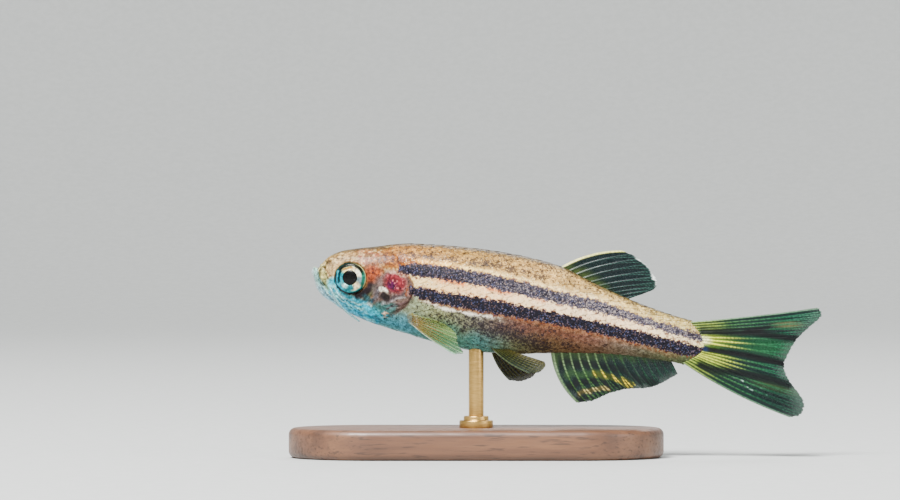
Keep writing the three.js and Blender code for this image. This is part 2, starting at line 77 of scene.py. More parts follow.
# From the snout: place, back, belly, half width, height of the widest line.
STATIONS = np.array(
    [
        [0.0, 0.55, -0.6, 0.62, -0.1],
        [0.8, 1.18, -1.3, 0.98, -0.05],
        [2.0, 1.9, -2.2, 1.42, 0.0],
        [3.2, 2.34, -2.74, 1.75, 0.0],
        [5.0, 2.88, -3.2, 2.02, 0.1],
        [6.5, 3.36, -3.44, 2.14, 0.25],
        [8.3, 3.66, -3.62, 2.2, 0.4],
        [11.0, 3.97, -3.92, 2.32, 0.5],
        [14.0, 4.17, -4.0, 2.34, 0.5],
        [17.0, 4.15, -3.68, 2.2, 0.45],
        [19.7, 3.88, -3.12, 1.95, 0.4],
        [22.0, 3.2, -2.68, 1.66, 0.3],
        [25.0, 2.42, -2.24, 1.26, 0.15],
        [28.0, 1.86, -2.03, 0.96, 0.0],
        [30.5, 1.58, -2.0, 0.74, -0.15],
        [32.3, 1.62, -2.12, 0.5, -0.25],
    ]
)


def through(xs, ys, x):
    """A smooth curve through the points, read at x."""
    xs, ys, x = np.asarray(xs), np.asarray(ys), np.asarray(x, float)
    before = np.maximum(np.arange(len(xs)) - 1, 0)
    after = np.minimum(np.arange(len(xs)) + 1, len(xs) - 1)
    slope = (ys[after] - ys[before]) / (xs[after] - xs[before])
    i = np.clip(np.searchsorted(xs, x, side="right") - 1, 0, len(xs) - 2)
    w = xs[i + 1] - xs[i]
    t = np.clip((x - xs[i]) / w, 0, 1)
    u = 1 - t
    rising = ys[i] * (1 + 2 * t) * u * u + ys[i + 1] * t * t * (3 - 2 * t)
    return rising + slope[i] * w * t * u * u - slope[i + 1] * w * t * t * u


def station(column, x):
    return through(STATIONS[:, 0], STATIONS[:, column], x)


def smooth(low, high, value):
    """From 0 at low to 1 at high, easing in and out."""
    t = np.clip((np.asarray(value, float) - low) / (high - low), 0, 1)
    return t * t * (3 - 2 * t)


TURN = np.array([math.cos(HEAD_UP), math.sin(HEAD_UP)])
BELLY_AT_ROD = float(station(2, ROD_AT))
SNOUT_X = -(ROD_AT * TURN[0] + BELLY_AT_ROD * TURN[1])


def onto_stand(points):
    """Points of the fish's frame in millimetres, in the model's frame in metres."""
    x, y, z = np.asarray(points, float).T
    across = SNOUT_X + x * TURN[0] + z * TURN[1]
    high = SNOUT_HEIGHT - x * TURN[1] + z * TURN[0]
    return np.stack([across, y, high], 1) * MM


print("snout at", onto_stand([[0, 0, 0]])[0].round(5))

# %% [markdown]
# ## Camera
#
# The fish is seen square from its left side and from its own height, through a
# long lens. The frame is 72 mm wide at the fish. A long lens far away keeps the
# near and far fins alike in size, as in a close-up of so small a fish.

# %% Camera
FRAME_WIDTH = 72.0
FRAME_CENTRE = (11.04, 1.6)  # right of the snout and above it
CAMERA_AWAY = 400.0
SENSOR = 36.0

camera_data = bpy.data.cameras.new("camera")
camera_data.sensor_width = SENSOR
camera_data.lens = SENSOR * CAMERA_AWAY / FRAME_WIDTH
camera_data.clip_start = 0.01
camera_data.clip_end = 10.0
camera = bpy.data.objects.new("camera", camera_data)
bpy.context.scene.collection.objects.link(camera)
camera.location = Vector(
    (SNOUT_X + FRAME_CENTRE[0], -CAMERA_AWAY, SNOUT_HEIGHT + FRAME_CENTRE[1])
) * MM
camera.rotation_euler = (math.pi / 2, 0, 0)
bpy.context.scene.camera = camera
print("lens:", round(camera_data.lens), "mm")

# %% [markdown]
# ## Helpers for shaping and for materials
#
# Operators act on all that is selected, so a helper clears the selection before a
# primitive is added. Others write worked-out places into a mesh, and keep a number
# for each vertex, which a material can read. One more adds a shader node with its
# settings and links in one line, and colours are written as sRGB hex values that
# one function turns to linear.

# %% Shaping helpers
def clear_selection():
    if bpy.context.object and bpy.context.object.mode != "OBJECT":
        bpy.ops.object.mode_set(mode="OBJECT")
    bpy.ops.object.select_all(action="DESELECT")


def pick(piece):
    """Selects one piece and nothing else."""
    clear_selection()
    piece.select_set(True)
    bpy.context.view_layer.objects.active = piece


def named(name):
    """The primitive that was just added, with its own name."""
    piece = bpy.context.object
    piece.name = name
    piece.data.name = name
    return piece


def places_of(piece):
    found = np.zeros(len(piece.data.vertices) * 3)
    piece.data.vertices.foreach_get("co", found)
    return found.reshape(-1, 3)


def move_to(piece, places):
    piece.data.vertices.foreach_set("co", np.asarray(places, float).ravel())
    piece.data.update()


def keep_number(piece, name, values):
    layer = piece.data.attributes.new(name, "FLOAT", "POINT")
    layer.data.foreach_set("value", np.asarray(values, np.float32))


# Light and the picture's tone curve pale a colour, so paint is laid this much deeper.
PAINT_DEPTH = 1.45


def keep_colour(piece, name, colours):
    layer = piece.data.attributes.new(name, "FLOAT_COLOR", "POINT")
    full = np.ones((len(colours), 4), np.float32)
    full[:, :3] = np.clip(colours, 0, 1) ** PAINT_DEPTH
    layer.data.foreach_set("color", full.ravel())


def mesh_piece(name, places, faces):
    """A mesh object from places in metres and lists of corner numbers."""
    data = bpy.data.meshes.new(name)
    data.from_pydata(np.asarray(places).tolist(), [], np.asarray(faces).tolist())
    data.update()
    piece = bpy.data.objects.new(name, data)
    bpy.context.scene.collection.objects.link(piece)
    return piece


def shade_smooth(piece, angle=None):
    pick(piece)
    if angle is None:
        bpy.ops.object.shade_smooth()
    else:
        bpy.ops.object.shade_smooth_by_angle(angle=math.radians(angle))


def apply_modifier(piece, kind, **settings):
    pick(piece)
    modifier = piece.modifiers.new(kind.lower(), kind)
    for key, value in settings.items():
        setattr(modifier, key, value)
    bpy.ops.object.modifier_apply(modifier=modifier.name)


def turn_faces_out(piece):
    pick(piece)
    bpy.ops.object.mode_set(mode="EDIT")
    bpy.ops.mesh.select_all(action="SELECT")
    bpy.ops.mesh.normals_make_consistent(inside=False)
    bpy.ops.object.mode_set(mode="OBJECT")


def ball_of(name, segments, rings):
    """A ball of radius 1, its vertices, and each one's share of the way from its top
    pole to its bottom pole."""
    clear_selection()
    bpy.ops.mesh.primitive_uv_sphere_add(segments=segments, ring_count=rings, radius=1.0)
    ball = named(name)
    corners = places_of(ball)
    return ball, corners, np.arccos(np.clip(corners[:, 2], -1, 1)) / np.pi


# %% Material helpers
def linear(text):
    """An sRGB hex colour as linear red, green and blue."""
    parts = [int(text[i : i + 2], 16) / 255 for i in (1, 3, 5)]
    return [c / 12.92 if c <= 0.04045 else ((c + 0.055) / 1.055) ** 2.4 for c in parts]


def rgba(text):
    return (*linear(text), 1.0)


def feed(node, inputs):
    """Links or sets each input of a node."""
    for key, value in inputs.items():
        socket = node.inputs[key]
        if isinstance(value, bpy.types.NodeSocket):
            node.id_data.links.new(value, socket)
        else:
            socket.default_value = value


def add_node(tree, kind, inputs=None, out=0, stops=(), **settings):
    """Adds a shader node with its inputs and settings, and gives its output out, or
    all of its outputs where out is None. A ramp has stops of (position, hex colour)."""
    node = tree.nodes.new("ShaderNode" + kind)
    for key, value in settings.items():
        setattr(node, key, value)
    for _ in stops[2:]:
        node.color_ramp.elements.new(0.5)
    for index, (position, colour) in enumerate(stops):
        node.color_ramp.elements[index].position = position
        node.color_ramp.elements[index].color = rgba(colour)
    feed(node, inputs or {})
    return node.outputs if out is None else node.outputs[out]


def start_material(name, **settings):
    """A material, its shader with the fixed numbers set, and what adds its nodes."""
    material = bpy.data.materials.new(name)
    material.use_nodes = True
    tree = material.node_tree
    shader = tree.nodes["Principled BSDF"]
    feed(shader, {key.replace("_", " "): value for key, value in settings.items()})
    return material, shader, functools.partial(add_node, tree)


# A Mix node for colours has its own sockets, and a Map Range node is used eased.
UNDER, OVER = 6, 7
COLOURS = {"data_type": "RGBA", "out": 2}
DARKER = {"blend_type": "MULTIPLY", **COLOURS}
LOW, HIGH, TO_LOW, TO_HIGH = 1, 2, 3, 4
EASED = {"interpolation_type": "SMOOTHSTEP"}
TIMES = {"operation": "MULTIPLY"}
PLUS = {"operation": "ADD"}

# %% [markdown]
# ## Floor and light
#
# A pale, matt floor that sweeps up all round like a shallow bowl gives a plain
# background with no horizon from any side. It is modelled as a ring that is
# extruded outwards and up in steps. The light is soft: one large lamp above and
# in front on the left, a weaker one on the right, and an even pale sky.

# %% Floor
# Flat for 0.55 m, further than any view of the model stands back.
FLOOR_STEPS = [
    (0.3, 0.0), (0.55, 0.0), (0.65, 0.003), (0.76, 0.04), (0.84, 0.12), (0.89, 0.24), (0.9, 0.4)
]

clear_selection()
bpy.ops.mesh.primitive_circle_add(vertices=96, radius=0.12, fill_type="NGON")
floor = named("floor")
bpy.ops.object.mode_set(mode="EDIT")
bpy.ops.mesh.select_mode(type="EDGE")
radius, level = 0.12, 0.0
for next_radius, height in FLOOR_STEPS:
    bpy.ops.mesh.select_all(action="DESELECT")
    bpy.ops.mesh.select_non_manifold()
    bpy.ops.mesh.extrude_edges_move()
    share = next_radius / radius
    bpy.ops.transform.resize(value=(share, share, 1))
    bpy.ops.transform.translate(value=(0, 0, height - level))
    radius, level = next_radius, height
bpy.ops.object.mode_set(mode="OBJECT")
apply_modifier(floor, "SUBSURF", levels=2, render_levels=2)
shade_smooth(floor)

# Matt pale paper: an even grey-white with no shine, a little cloudy from its fibres.
PAPER_TONES = [(0.35, "#B0B2B0"), (0.65, "#B5B7B5")]
FIBRE_CLOUD = 1.5  # mm, drawn far coarser than paper fibres, which wouldn't show

material, shader, add = start_material("matt_pale_backdrop_paper", Roughness=0.85)
where = add("TexCoord", out="Object")
fibres = add("TexNoise", {"Vector": where, "Scale": 1 / (FIBRE_CLOUD * MM), "Detail": 3.0})
feed(shader, {"Base Color": add("ValToRGB", {"Fac": fibres}, stops=PAPER_TONES)})
floor.data.materials.append(material)
print("floor:", len(floor.data.polygons), "faces")


# %% Lights
def soft_lamp(name, place, size, watts):
    """A square lamp that faces the fish."""
    data = bpy.data.lights.new(name, "AREA")
    data.size = size
    data.energy = watts
    lamp = bpy.data.objects.new(name, data)
    bpy.context.scene.collection.objects.link(lamp)
    lamp.location = place
    aim = Vector((0, 0, SNOUT_HEIGHT * MM)) - lamp.location
    lamp.rotation_euler = aim.to_track_quat("-Z", "Y").to_euler()


soft_lamp("key_lamp", (-0.22, -0.4, 0.6), 0.3, 24.0)
soft_lamp("fill_lamp", (0.6, -0.3, 0.3), 0.4, 2.5)
soft_lamp("rim_lamp", (0.15, 0.5, 0.5), 0.4, 3.0)

world = bpy.context.scene.world or bpy.data.worlds.new("world")
bpy.context.scene.world = world
world.use_nodes = True
sky = world.node_tree.nodes["Background"]
sky.inputs["Color"].default_value = rgba("#E6EAEE")
sky.inputs["Strength"].default_value = 0.33

# %% [markdown]
# ## The skin
#
# The living fish is one piece of flesh, so one skin takes the place of the head,
# jaw, trunk and tail. It starts as a ball with its poles at the snout and the tail
# root. Each ring is carried to its place along the fish and given the outline of
# the body there. Then the folds of the head are pressed in by formula: the slit
# of the mouth with its two lips, the nostrils, a rim round each eye, and shallow
# creases on the cheek. Formulas are used because the folds follow the same named
# sizes as the solid pieces.

# %% The body's surface
def surface(x, angle):
    """Places on the plain body; angle 0 is right, a quarter turn is up the back."""
    nose = np.clip(x / NOSE_ROUND, 0, 1)
    end = np.clip((LENGTH - x) / TAIL_ROUND, 0, 1)
    full = np.sqrt(nose * (2 - nose) * end * (2 - end))
    c, h = np.cos(angle), np.sin(angle)
    middle = station(4, x)
    tall = np.where(h > 0, station(1, x) - middle, middle - station(2, x)) * full
    power = np.where(h > 0, BACK_FULLNESS, BELLY_KEEL)
    half = station(3, x) * full * (1 - 0.6 * smooth(29.0, 32.2, x))
    rounded = x - 1.3 * h * h * smooth(30.0, LENGTH, x)
    return np.stack([rounded, half * np.sign(c) * np.abs(c) ** power, middle + tall * h], -1)


def half_width(x, z):
    """Half the body's width at a place along it and a height."""
    middle = station(4, x)
    up = z > middle
    rise = np.where(
        up, (z - middle) / (station(1, x) - middle), (middle - z) / (middle - station(2, x))
    )
    across = np.sqrt(np.clip(1 - rise**2, 0, 1))
    nose = np.clip(x / NOSE_ROUND, 0, 1)
    full = np.sqrt(nose * (2 - nose))
    return station(3, x) * full * across ** np.where(up, BACK_FULLNESS, BELLY_KEEL)


def to_line(x, z, line):
    """Distance to a line of points, share along it, and side: above 0 on its left."""
    line = np.asarray(line, float)
    best = np.full(np.shape(x), 1e9)
    share = np.zeros(np.shape(x))
    side = np.zeros(np.shape(x))
    steps = len(line) - 1
    for k in range(steps):
        a, b = line[k], line[k + 1]
        way = b - a
        t = np.clip(((x - a[0]) * way[0] + (z - a[1]) * way[1]) / (way @ way), 0, 1)
        dx, dz = x - a[0] - t * way[0], z - a[1] - t * way[1]
        far = np.hypot(dx, dz)
        nearer = far < best
        best = np.where(nearer, far, best)
        share = np.where(nearer, (k + t) / steps, share)
        side = np.where(nearer, np.sign(way[0] * dz - way[1] * dx), side)
    return best, share, side


def curve(points, steps=40):
    """A smooth line through a few points, as many short steps."""
    points = np.asarray(points, float)
    t = np.linspace(0, len(points) - 1, steps)
    knots = np.arange(len(points))
    return np.stack([through(knots, points[:, 0], t), through(knots, points[:, 1], t)], 1)


# %% Where the head ends
HEAD_BACK = np.array(
    [
        [5.6, 4.0], [6.2, 2.5], [7.4, 1.5], [8.25, 0.4], [8.35, -0.6], [8.0, -1.5], [7.2, -2.3],
        [6.2, -3.0], [5.6, -4.2],
    ]
)


def on_head(x, z):
    """1 in front of the gill cover's rear edge, 0 behind it."""
    order = np.argsort(HEAD_BACK[:, 1])
    edge = np.interp(z, HEAD_BACK[order, 1], HEAD_BACK[order, 0])
    return 1 - smooth(-0.12, 0.12, x - edge)


# %% Features of the head, in the fish's frame
SCALE_DEPTH = 0.03  # the skin lies this far in under the scales
EYE = {"x": 3.17, "z": -0.08, "out": 1.25, "radius": 1.28, "depth": 0.78}
MOUTH = curve(
    [
        [-0.3, 0.46], [0.2, 0.4], [0.46, 0.24], [0.61, -0.06], [0.77, -0.42], [0.98, -0.78],
        [1.24, -0.94], [1.5, -1.02],
    ]
)
CLEFT_DEPTH = 0.3
CLEFT_WIDTH = 0.06
LIP_RISE = 0.07
LIP_SET_BACK = 0.36
CHIN = {"forward": 0.14, "down": 0.13}
SOCKET_DEPTH = 0.75
NOSTRIL_DEPTH = 0.2
NOSTRILS = [(0.98, 0.82, 0.12), (1.24, 0.95, 0.1)]
CHEEK_CREASE = curve(
    [[4.75, 1.35], [4.95, 0.5], [4.95, -0.5], [4.7, -1.4], [4.1, -2.0], [3.1, -2.2], [2.3, -1.9]]
)
JAW_CREASE = curve([[2.0, -0.82], [2.4, -1.3], [3.0, -1.75], [3.9, -2.3], [4.7, -2.9]])
UNDER_EYE_CREASE = curve([[1.7, -0.2], [2.0, -0.95], [2.6, -1.5], [3.4, -1.65], [4.2, -1.35]])
THROAT_CREASE = curve([[4.9, -2.55], [5.6, -2.95], [6.4, -3.05], [7.2, -2.75]])


def head_folds(places):
    """Presses the folds of the head into the body, and gives the painted shade in each fold."""
    x, y, z = places.T
    inward = np.zeros(len(x))

    far, along, over = to_line(x, z, MOUTH)
    front = 1 - smooth(0.45, 1.0, along)
    cleft = CLEFT_DEPTH * np.exp(-((far / CLEFT_WIDTH) ** 2))
    inward += cleft * (0.3 + 0.7 * front) * (1 - smooth(0.85, 1, along))
    lips = np.exp(-(((far - 0.17) / 0.08) ** 2)) * (0.3 + 0.7 * front) * (1 - smooth(0.8, 1, along))
    inward -= LIP_RISE * lips
    inward += SCALE_DEPTH * (1 - on_head(x, z))
    # Painted shade: dark in the slit of the mouth, and below that in the nostrils and creases.
    fold_shade = np.exp(-(((over * far - 0.01) / 0.06) ** 4)) * (1 - smooth(0.86, 0.94, along))
    fold_shade = fold_shade * (1 - 0.65 * smooth(0.42, 0.5, along) * (1 - smooth(0.64, 0.72, along)))
    set_back = LIP_SET_BACK * np.exp(-((x / 1.1) ** 2)) * smooth(-0.02, 0.1, over * far)
    set_back = set_back * (1 - 0.9 * smooth(0.26, 0.45, along) * np.exp(-((far / 0.3) ** 2)))

    for nostril_x, nostril_z, radius in NOSTRILS:
        away = np.hypot(x - nostril_x, (z - nostril_z) / 1.3) / radius
        inward += NOSTRIL_DEPTH * np.exp(-(away**4)) - 0.03 * np.exp(-(((away - 1.45) / 0.3) ** 2))
        fold_shade = np.maximum(fold_shade, 0.6 * np.exp(-(away**4)))

    away = np.hypot(x - EYE["x"], z - EYE["z"])
    inward += SOCKET_DEPTH * (1 - smooth(1.12, 1.33, away))
    inward -= 0.05 * np.exp(-(((away - 1.42) / 0.07) ** 2))

    for crease, depth, width in (
        (CHEEK_CREASE, 0.05, 0.07),
        (JAW_CREASE, 0.07, 0.06),
        (UNDER_EYE_CREASE, 0.03, 0.05),
        (THROAT_CREASE, 0.05, 0.05),
    ):
        far, along, over = to_line(x, z, crease)
        fade = np.sin(np.pi * np.clip(along, 0.02, 0.98)) ** 0.6
        inward += depth * np.exp(-((far / width) ** 2)) * fade
        inward -= 0.4 * depth * np.exp(-(((far - 2.2 * width) / width) ** 2)) * fade
        fold_shade = np.maximum(fold_shade, 6 * depth * np.exp(-((far / width) ** 2)) * fade)

    widest = np.abs(y) + 1e-6
    high = z - station(4, x)
    reach = np.hypot(widest, high)
    flat = np.clip(reach, 0.25, None)
    moved = places.copy()
    moved[:, 1] -= inward * y / flat * np.minimum(widest / 0.3, 1)
    moved[:, 2] -= inward * high / flat * 0.5
    moved[:, 0] += set_back + np.where(x < 0.8, inward * (1 - x / 0.8), 0)
    chin = smooth(0.1, 0.9, x) * (1 - smooth(1.3, 2.2, x)) * smooth(0.1, 0.7, -high)
    moved[:, 0] -= CHIN["forward"] * chin
    moved[:, 2] -= CHIN["down"] * chin
    return moved, fold_shade


# %% Skin
RINGS = 400
SIDES = 192
HEAD_SHARE = 0.5  # of the rings lie on the head, which has the finest folds
HEAD_END = 8.6


def ring_places(share):
    """Where a ring lies along the fish, from its share of all rings."""
    on_head = HEAD_END * (share / HEAD_SHARE) ** 1.35
    rest = (share - HEAD_SHARE) / (1 - HEAD_SHARE)
    behind = HEAD_END + (LENGTH - HEAD_END) * (1 - (1 - rest) ** 1.25)
    return np.where(share < HEAD_SHARE, on_head, behind)


skin, ball, share = ball_of("skin", SIDES, RINGS)
angle = np.arctan2(ball[:, 1], -ball[:, 0])  # turned so that its faces look outwards
plain = surface(ring_places(share), angle)
skin_fish, skin_fold_shade = head_folds(plain)
move_to(skin, onto_stand(skin_fish))
print("skin:", len(skin.data.polygons), "faces")

# %% [markdown]
# ## The markings
#
# The fish's pattern belongs to its body and not to one piece, so one function gives
# the colours of any point on it. The skin, the gill covers and the scales all ask
# that function, and so the pattern runs on from one to the next. The ground colour
# is laid on as a painter does, from broad bands to small named patches. The dark
# stripes are kept as a distance from their edges, so that the material can make
# those edges as ragged as the pigment cells of the real fish do.

# %% Painting helpers
def lumps(points, grain, seed):
    """Smooth noise from -1 to 1, with lumps about grain millimetres across."""
    size = 16
    table = np.random.default_rng(seed).uniform(-1, 1, (size, size, size))
    at = np.asarray(points) / grain
    low = np.floor(at).astype(int)
    t = at - low
    t = t * t * (3 - 2 * t)
    value = np.zeros(len(at))
    for corner in np.ndindex(2, 2, 2):
        weight = np.prod(np.where(corner, t, 1 - t), axis=1)
        i, j, k = ((low + corner) % size).T
        value += weight * table[i, j, k]
    return value


def lay(under, colour, amount):
    """Lays a colour over others by an amount from 0 to 1 for each point."""
    amount = np.clip(amount, 0, 1)[:, None]
    over = np.array(linear(colour)) if isinstance(colour, str) else colour
    return under * (1 - amount) + over * amount


def lay_all(colour, *layers):
    """Lays colours over others in turn, from (colour, amount) layers."""
    for tone, amount in layers:
        colour = lay(colour, tone, amount)
    return colour


def all_over(x, colour):
    """One colour for each point."""
    return np.tile(linear(colour), (len(x), 1))


def graded(x, stops):
    """Colours that change along x, from (place, hex colour) stops."""
    places = [place for place, colour in stops]
    colours = np.array([linear(colour) for place, colour in stops])
    return np.stack([np.interp(x, places, colours[:, k]) for k in range(3)], 1)


def patch(x, z, centre, radii, tilt=0.0, soft=0.5):
    """A soft-edged ellipse, 1 inside, its long way tilted up towards the tail."""
    turn = math.radians(tilt)
    dx, dz = x - centre[0], z - centre[1]
    along = dx * math.cos(turn) + dz * math.sin(turn)
    across = dz * math.cos(turn) - dx * math.sin(turn)
    away = np.hypot(along / radii[0], across / radii[1])
    return 1 - smooth(1 - soft, 1 + soft, away)


def streak(x, z, line, width, soft=0.6):
    """A soft band along a line."""
    far = to_line(x, z, curve(line))[0]
    return 1 - smooth(width * (1 - soft), width * (1 + soft), far)


# %% The dark stripes
STRIPES = [
    {
        "top": [
            [6.9, 1.7], [8.0, 2.02], [10.0, 2.18], [13.2, 2.28], [16.5, 2.14], [19.8, 1.9],
            [23.1, 1.74], [26.5, 1.2], [29.8, 0.82], [32.3, 0.55],
        ],
        "low": [
            [6.9, 1.1], [8.0, 0.98], [10.0, 1.1], [13.4, 1.19], [16.7, 1.07], [20.0, 0.94],
            [23.3, 0.82], [26.6, 0.55], [29.9, 0.12], [32.3, 0.0],
        ],
        "from": 6.85,
        "to": 31.9,
    },
    {
        "top": [
            [7.9, 0.22], [10.4, 0.22], [13.6, 0.32], [16.9, 0.28], [20.1, 0.23], [23.4, 0.11],
            [26.7, -0.03], [30.0, -0.28], [32.3, -0.4],
        ],
        "low": [
            [7.9, -0.5], [9.2, -0.7], [10.6, -0.82], [13.8, -0.85], [17.1, -0.77], [20.3, -0.77],
            [23.6, -0.85], [26.9, -1.04], [30.2, -1.3], [32.3, -1.1],
        ],
        "from": 7.9,
        "to": 34.0,
    },
]


def stripe_edge(stripe, edge, x):
    line = np.array(stripe[edge])
    return through(line[:, 0], line[:, 1], x)


def stripe_depth(points):
    """How deep a point lies inside the nearest dark stripe, below 0 outside."""
    x, _, z = points.T
    depth = np.full(len(x), -9.0)
    for stripe in STRIPES:
        inside = np.minimum(stripe_edge(stripe, "top", x) - z, z - stripe_edge(stripe, "low", x))
        ends = np.minimum(x - stripe["from"], stripe["to"] - x)
        depth = np.maximum(depth, np.minimum(inside, ends))
    return depth


# %% The ground colour
def body_colour(points):
    """Colours of the trunk and tail, without the dark pigment."""
    x, _, z = points.T
    ragged = z + 0.1 * lumps(points, 0.55, 1) + 0.05 * lumps(points, 0.2, 2)
    top_1, low_1 = (stripe_edge(STRIPES[0], edge, x) for edge in ("top", "low"))
    low_2 = stripe_edge(STRIPES[1], "low", x)
    middle = station(4, x)
    up = (z - middle) / (station(1, x) - middle)
    down = (middle - z) / (middle - station(2, x))

    colour = graded(
        x,
        [
            (7, "#F4E4B0"), (10, "#FAD9A4"), (14, "#FFDDB0"), (20, "#FFE8C6"), (26, "#FFE6C4"),
            (31, "#F6E8C4"), (32, "#FFF2DC"),
        ],
    )
    rosy = smooth(0.0, 0.5, lumps(points, 1.3, 3)) * smooth(9, 11, x) * (1 - smooth(20, 24, x))
    blush = 0.75 * rosy * (1 - smooth(0.08, 0.3, np.abs(ragged - (low_1 - 0.03))))
    colour = lay(colour, "#DE7F45", blush)

    back = graded(
        x, [(6, "#C79A5C"), (12, "#C0A268"), (18, "#DABC86"), (25, "#D2BC86"), (32, "#C2B47C")]
    )
    mottled = back * (1 + 0.3 * lumps(points, 0.22, 4) + 0.2 * lumps(points, 0.7, 5))[:, None]
    colour = lay(colour, mottled, smooth(-0.1, 0.1, ragged - (top_1 + low_1) / 2))
    cream = graded(
        x,
        [
            (6.5, "#E6A440"), (8.5, "#F8CA72"), (12, "#FFE6A2"), (20, "#FFE9BC"), (26, "#E2CE9C"),
            (32, "#D8CC98"),
        ],
    )
    line = smooth(-0.1, 0.05, ragged - top_1) * (1 - smooth(0.16, 0.42, ragged - top_1))
    colour = lay_all(
        colour,
        (cream, line * (0.95 - 0.35 * smooth(23, 28, x))),
        ("#5A5430", 0.8 * smooth(0.88, 1.0, up)),
    )

    flank = graded(
        x,
        [
            (8, "#B0BCA4"), (10.5, "#B2B892"), (14, "#8A867C"), (17, "#8A6C62"), (20, "#98705C"),
            (23, "#A48072"), (26, "#A89C92"), (29, "#868F78"), (32, "#74865E"),
        ],
    )
    flank = flank * (1 + 0.2 * lumps(points, 0.35, 15))[:, None]
    colour = lay(colour, flank, smooth(-0.3, -0.15, low_2 - ragged))
    tanned = smooth(8.5, 10, x) * (1 - smooth(16, 19, x)) * (1 - smooth(0.12, 0.24, low_2 - ragged))
    colour = lay(colour, "#A87C58", 0.75 * tanned * smooth(-0.3, -0.15, low_2 - ragged))
    rose = smooth(16, 19, x) * (1 - smooth(29, 31, x))
    blush = 0.5 * rose * (1 - smooth(0.12, 0.4, np.abs(low_2 - 0.1 - ragged)))
    colour = lay(colour, "#B8906C", blush)
    under = graded(
        x,
        [
            (6, "#58B8D0"), (8.5, "#74C4DC"), (11, "#7AB49C"), (14.5, "#74B4B6"), (17, "#949E80"),
            (20, "#96886C"), (24, "#8C8468"), (32, "#6A784A"),
        ],
    )
    colour = lay_all(
        colour,
        (
            under,
            0.9 * smooth(0.48, 0.88, down + 0.08 * lumps(points, 0.8, 6))
            * (1 - 0.6 * smooth(19, 23, x)),
        ),
        ("#86C2BE", 0.4 * smooth(0.86, 1, down) * (1 - smooth(15, 18, x))),
    )
    root = smooth(30.9, 32.1, x + 0.25 * lumps(points * [0.4, 1, 3], 0.4, 16))
    colour = lay(colour, "#C9C870", 0.7 * root)
    return np.clip(colour, 0, 1)


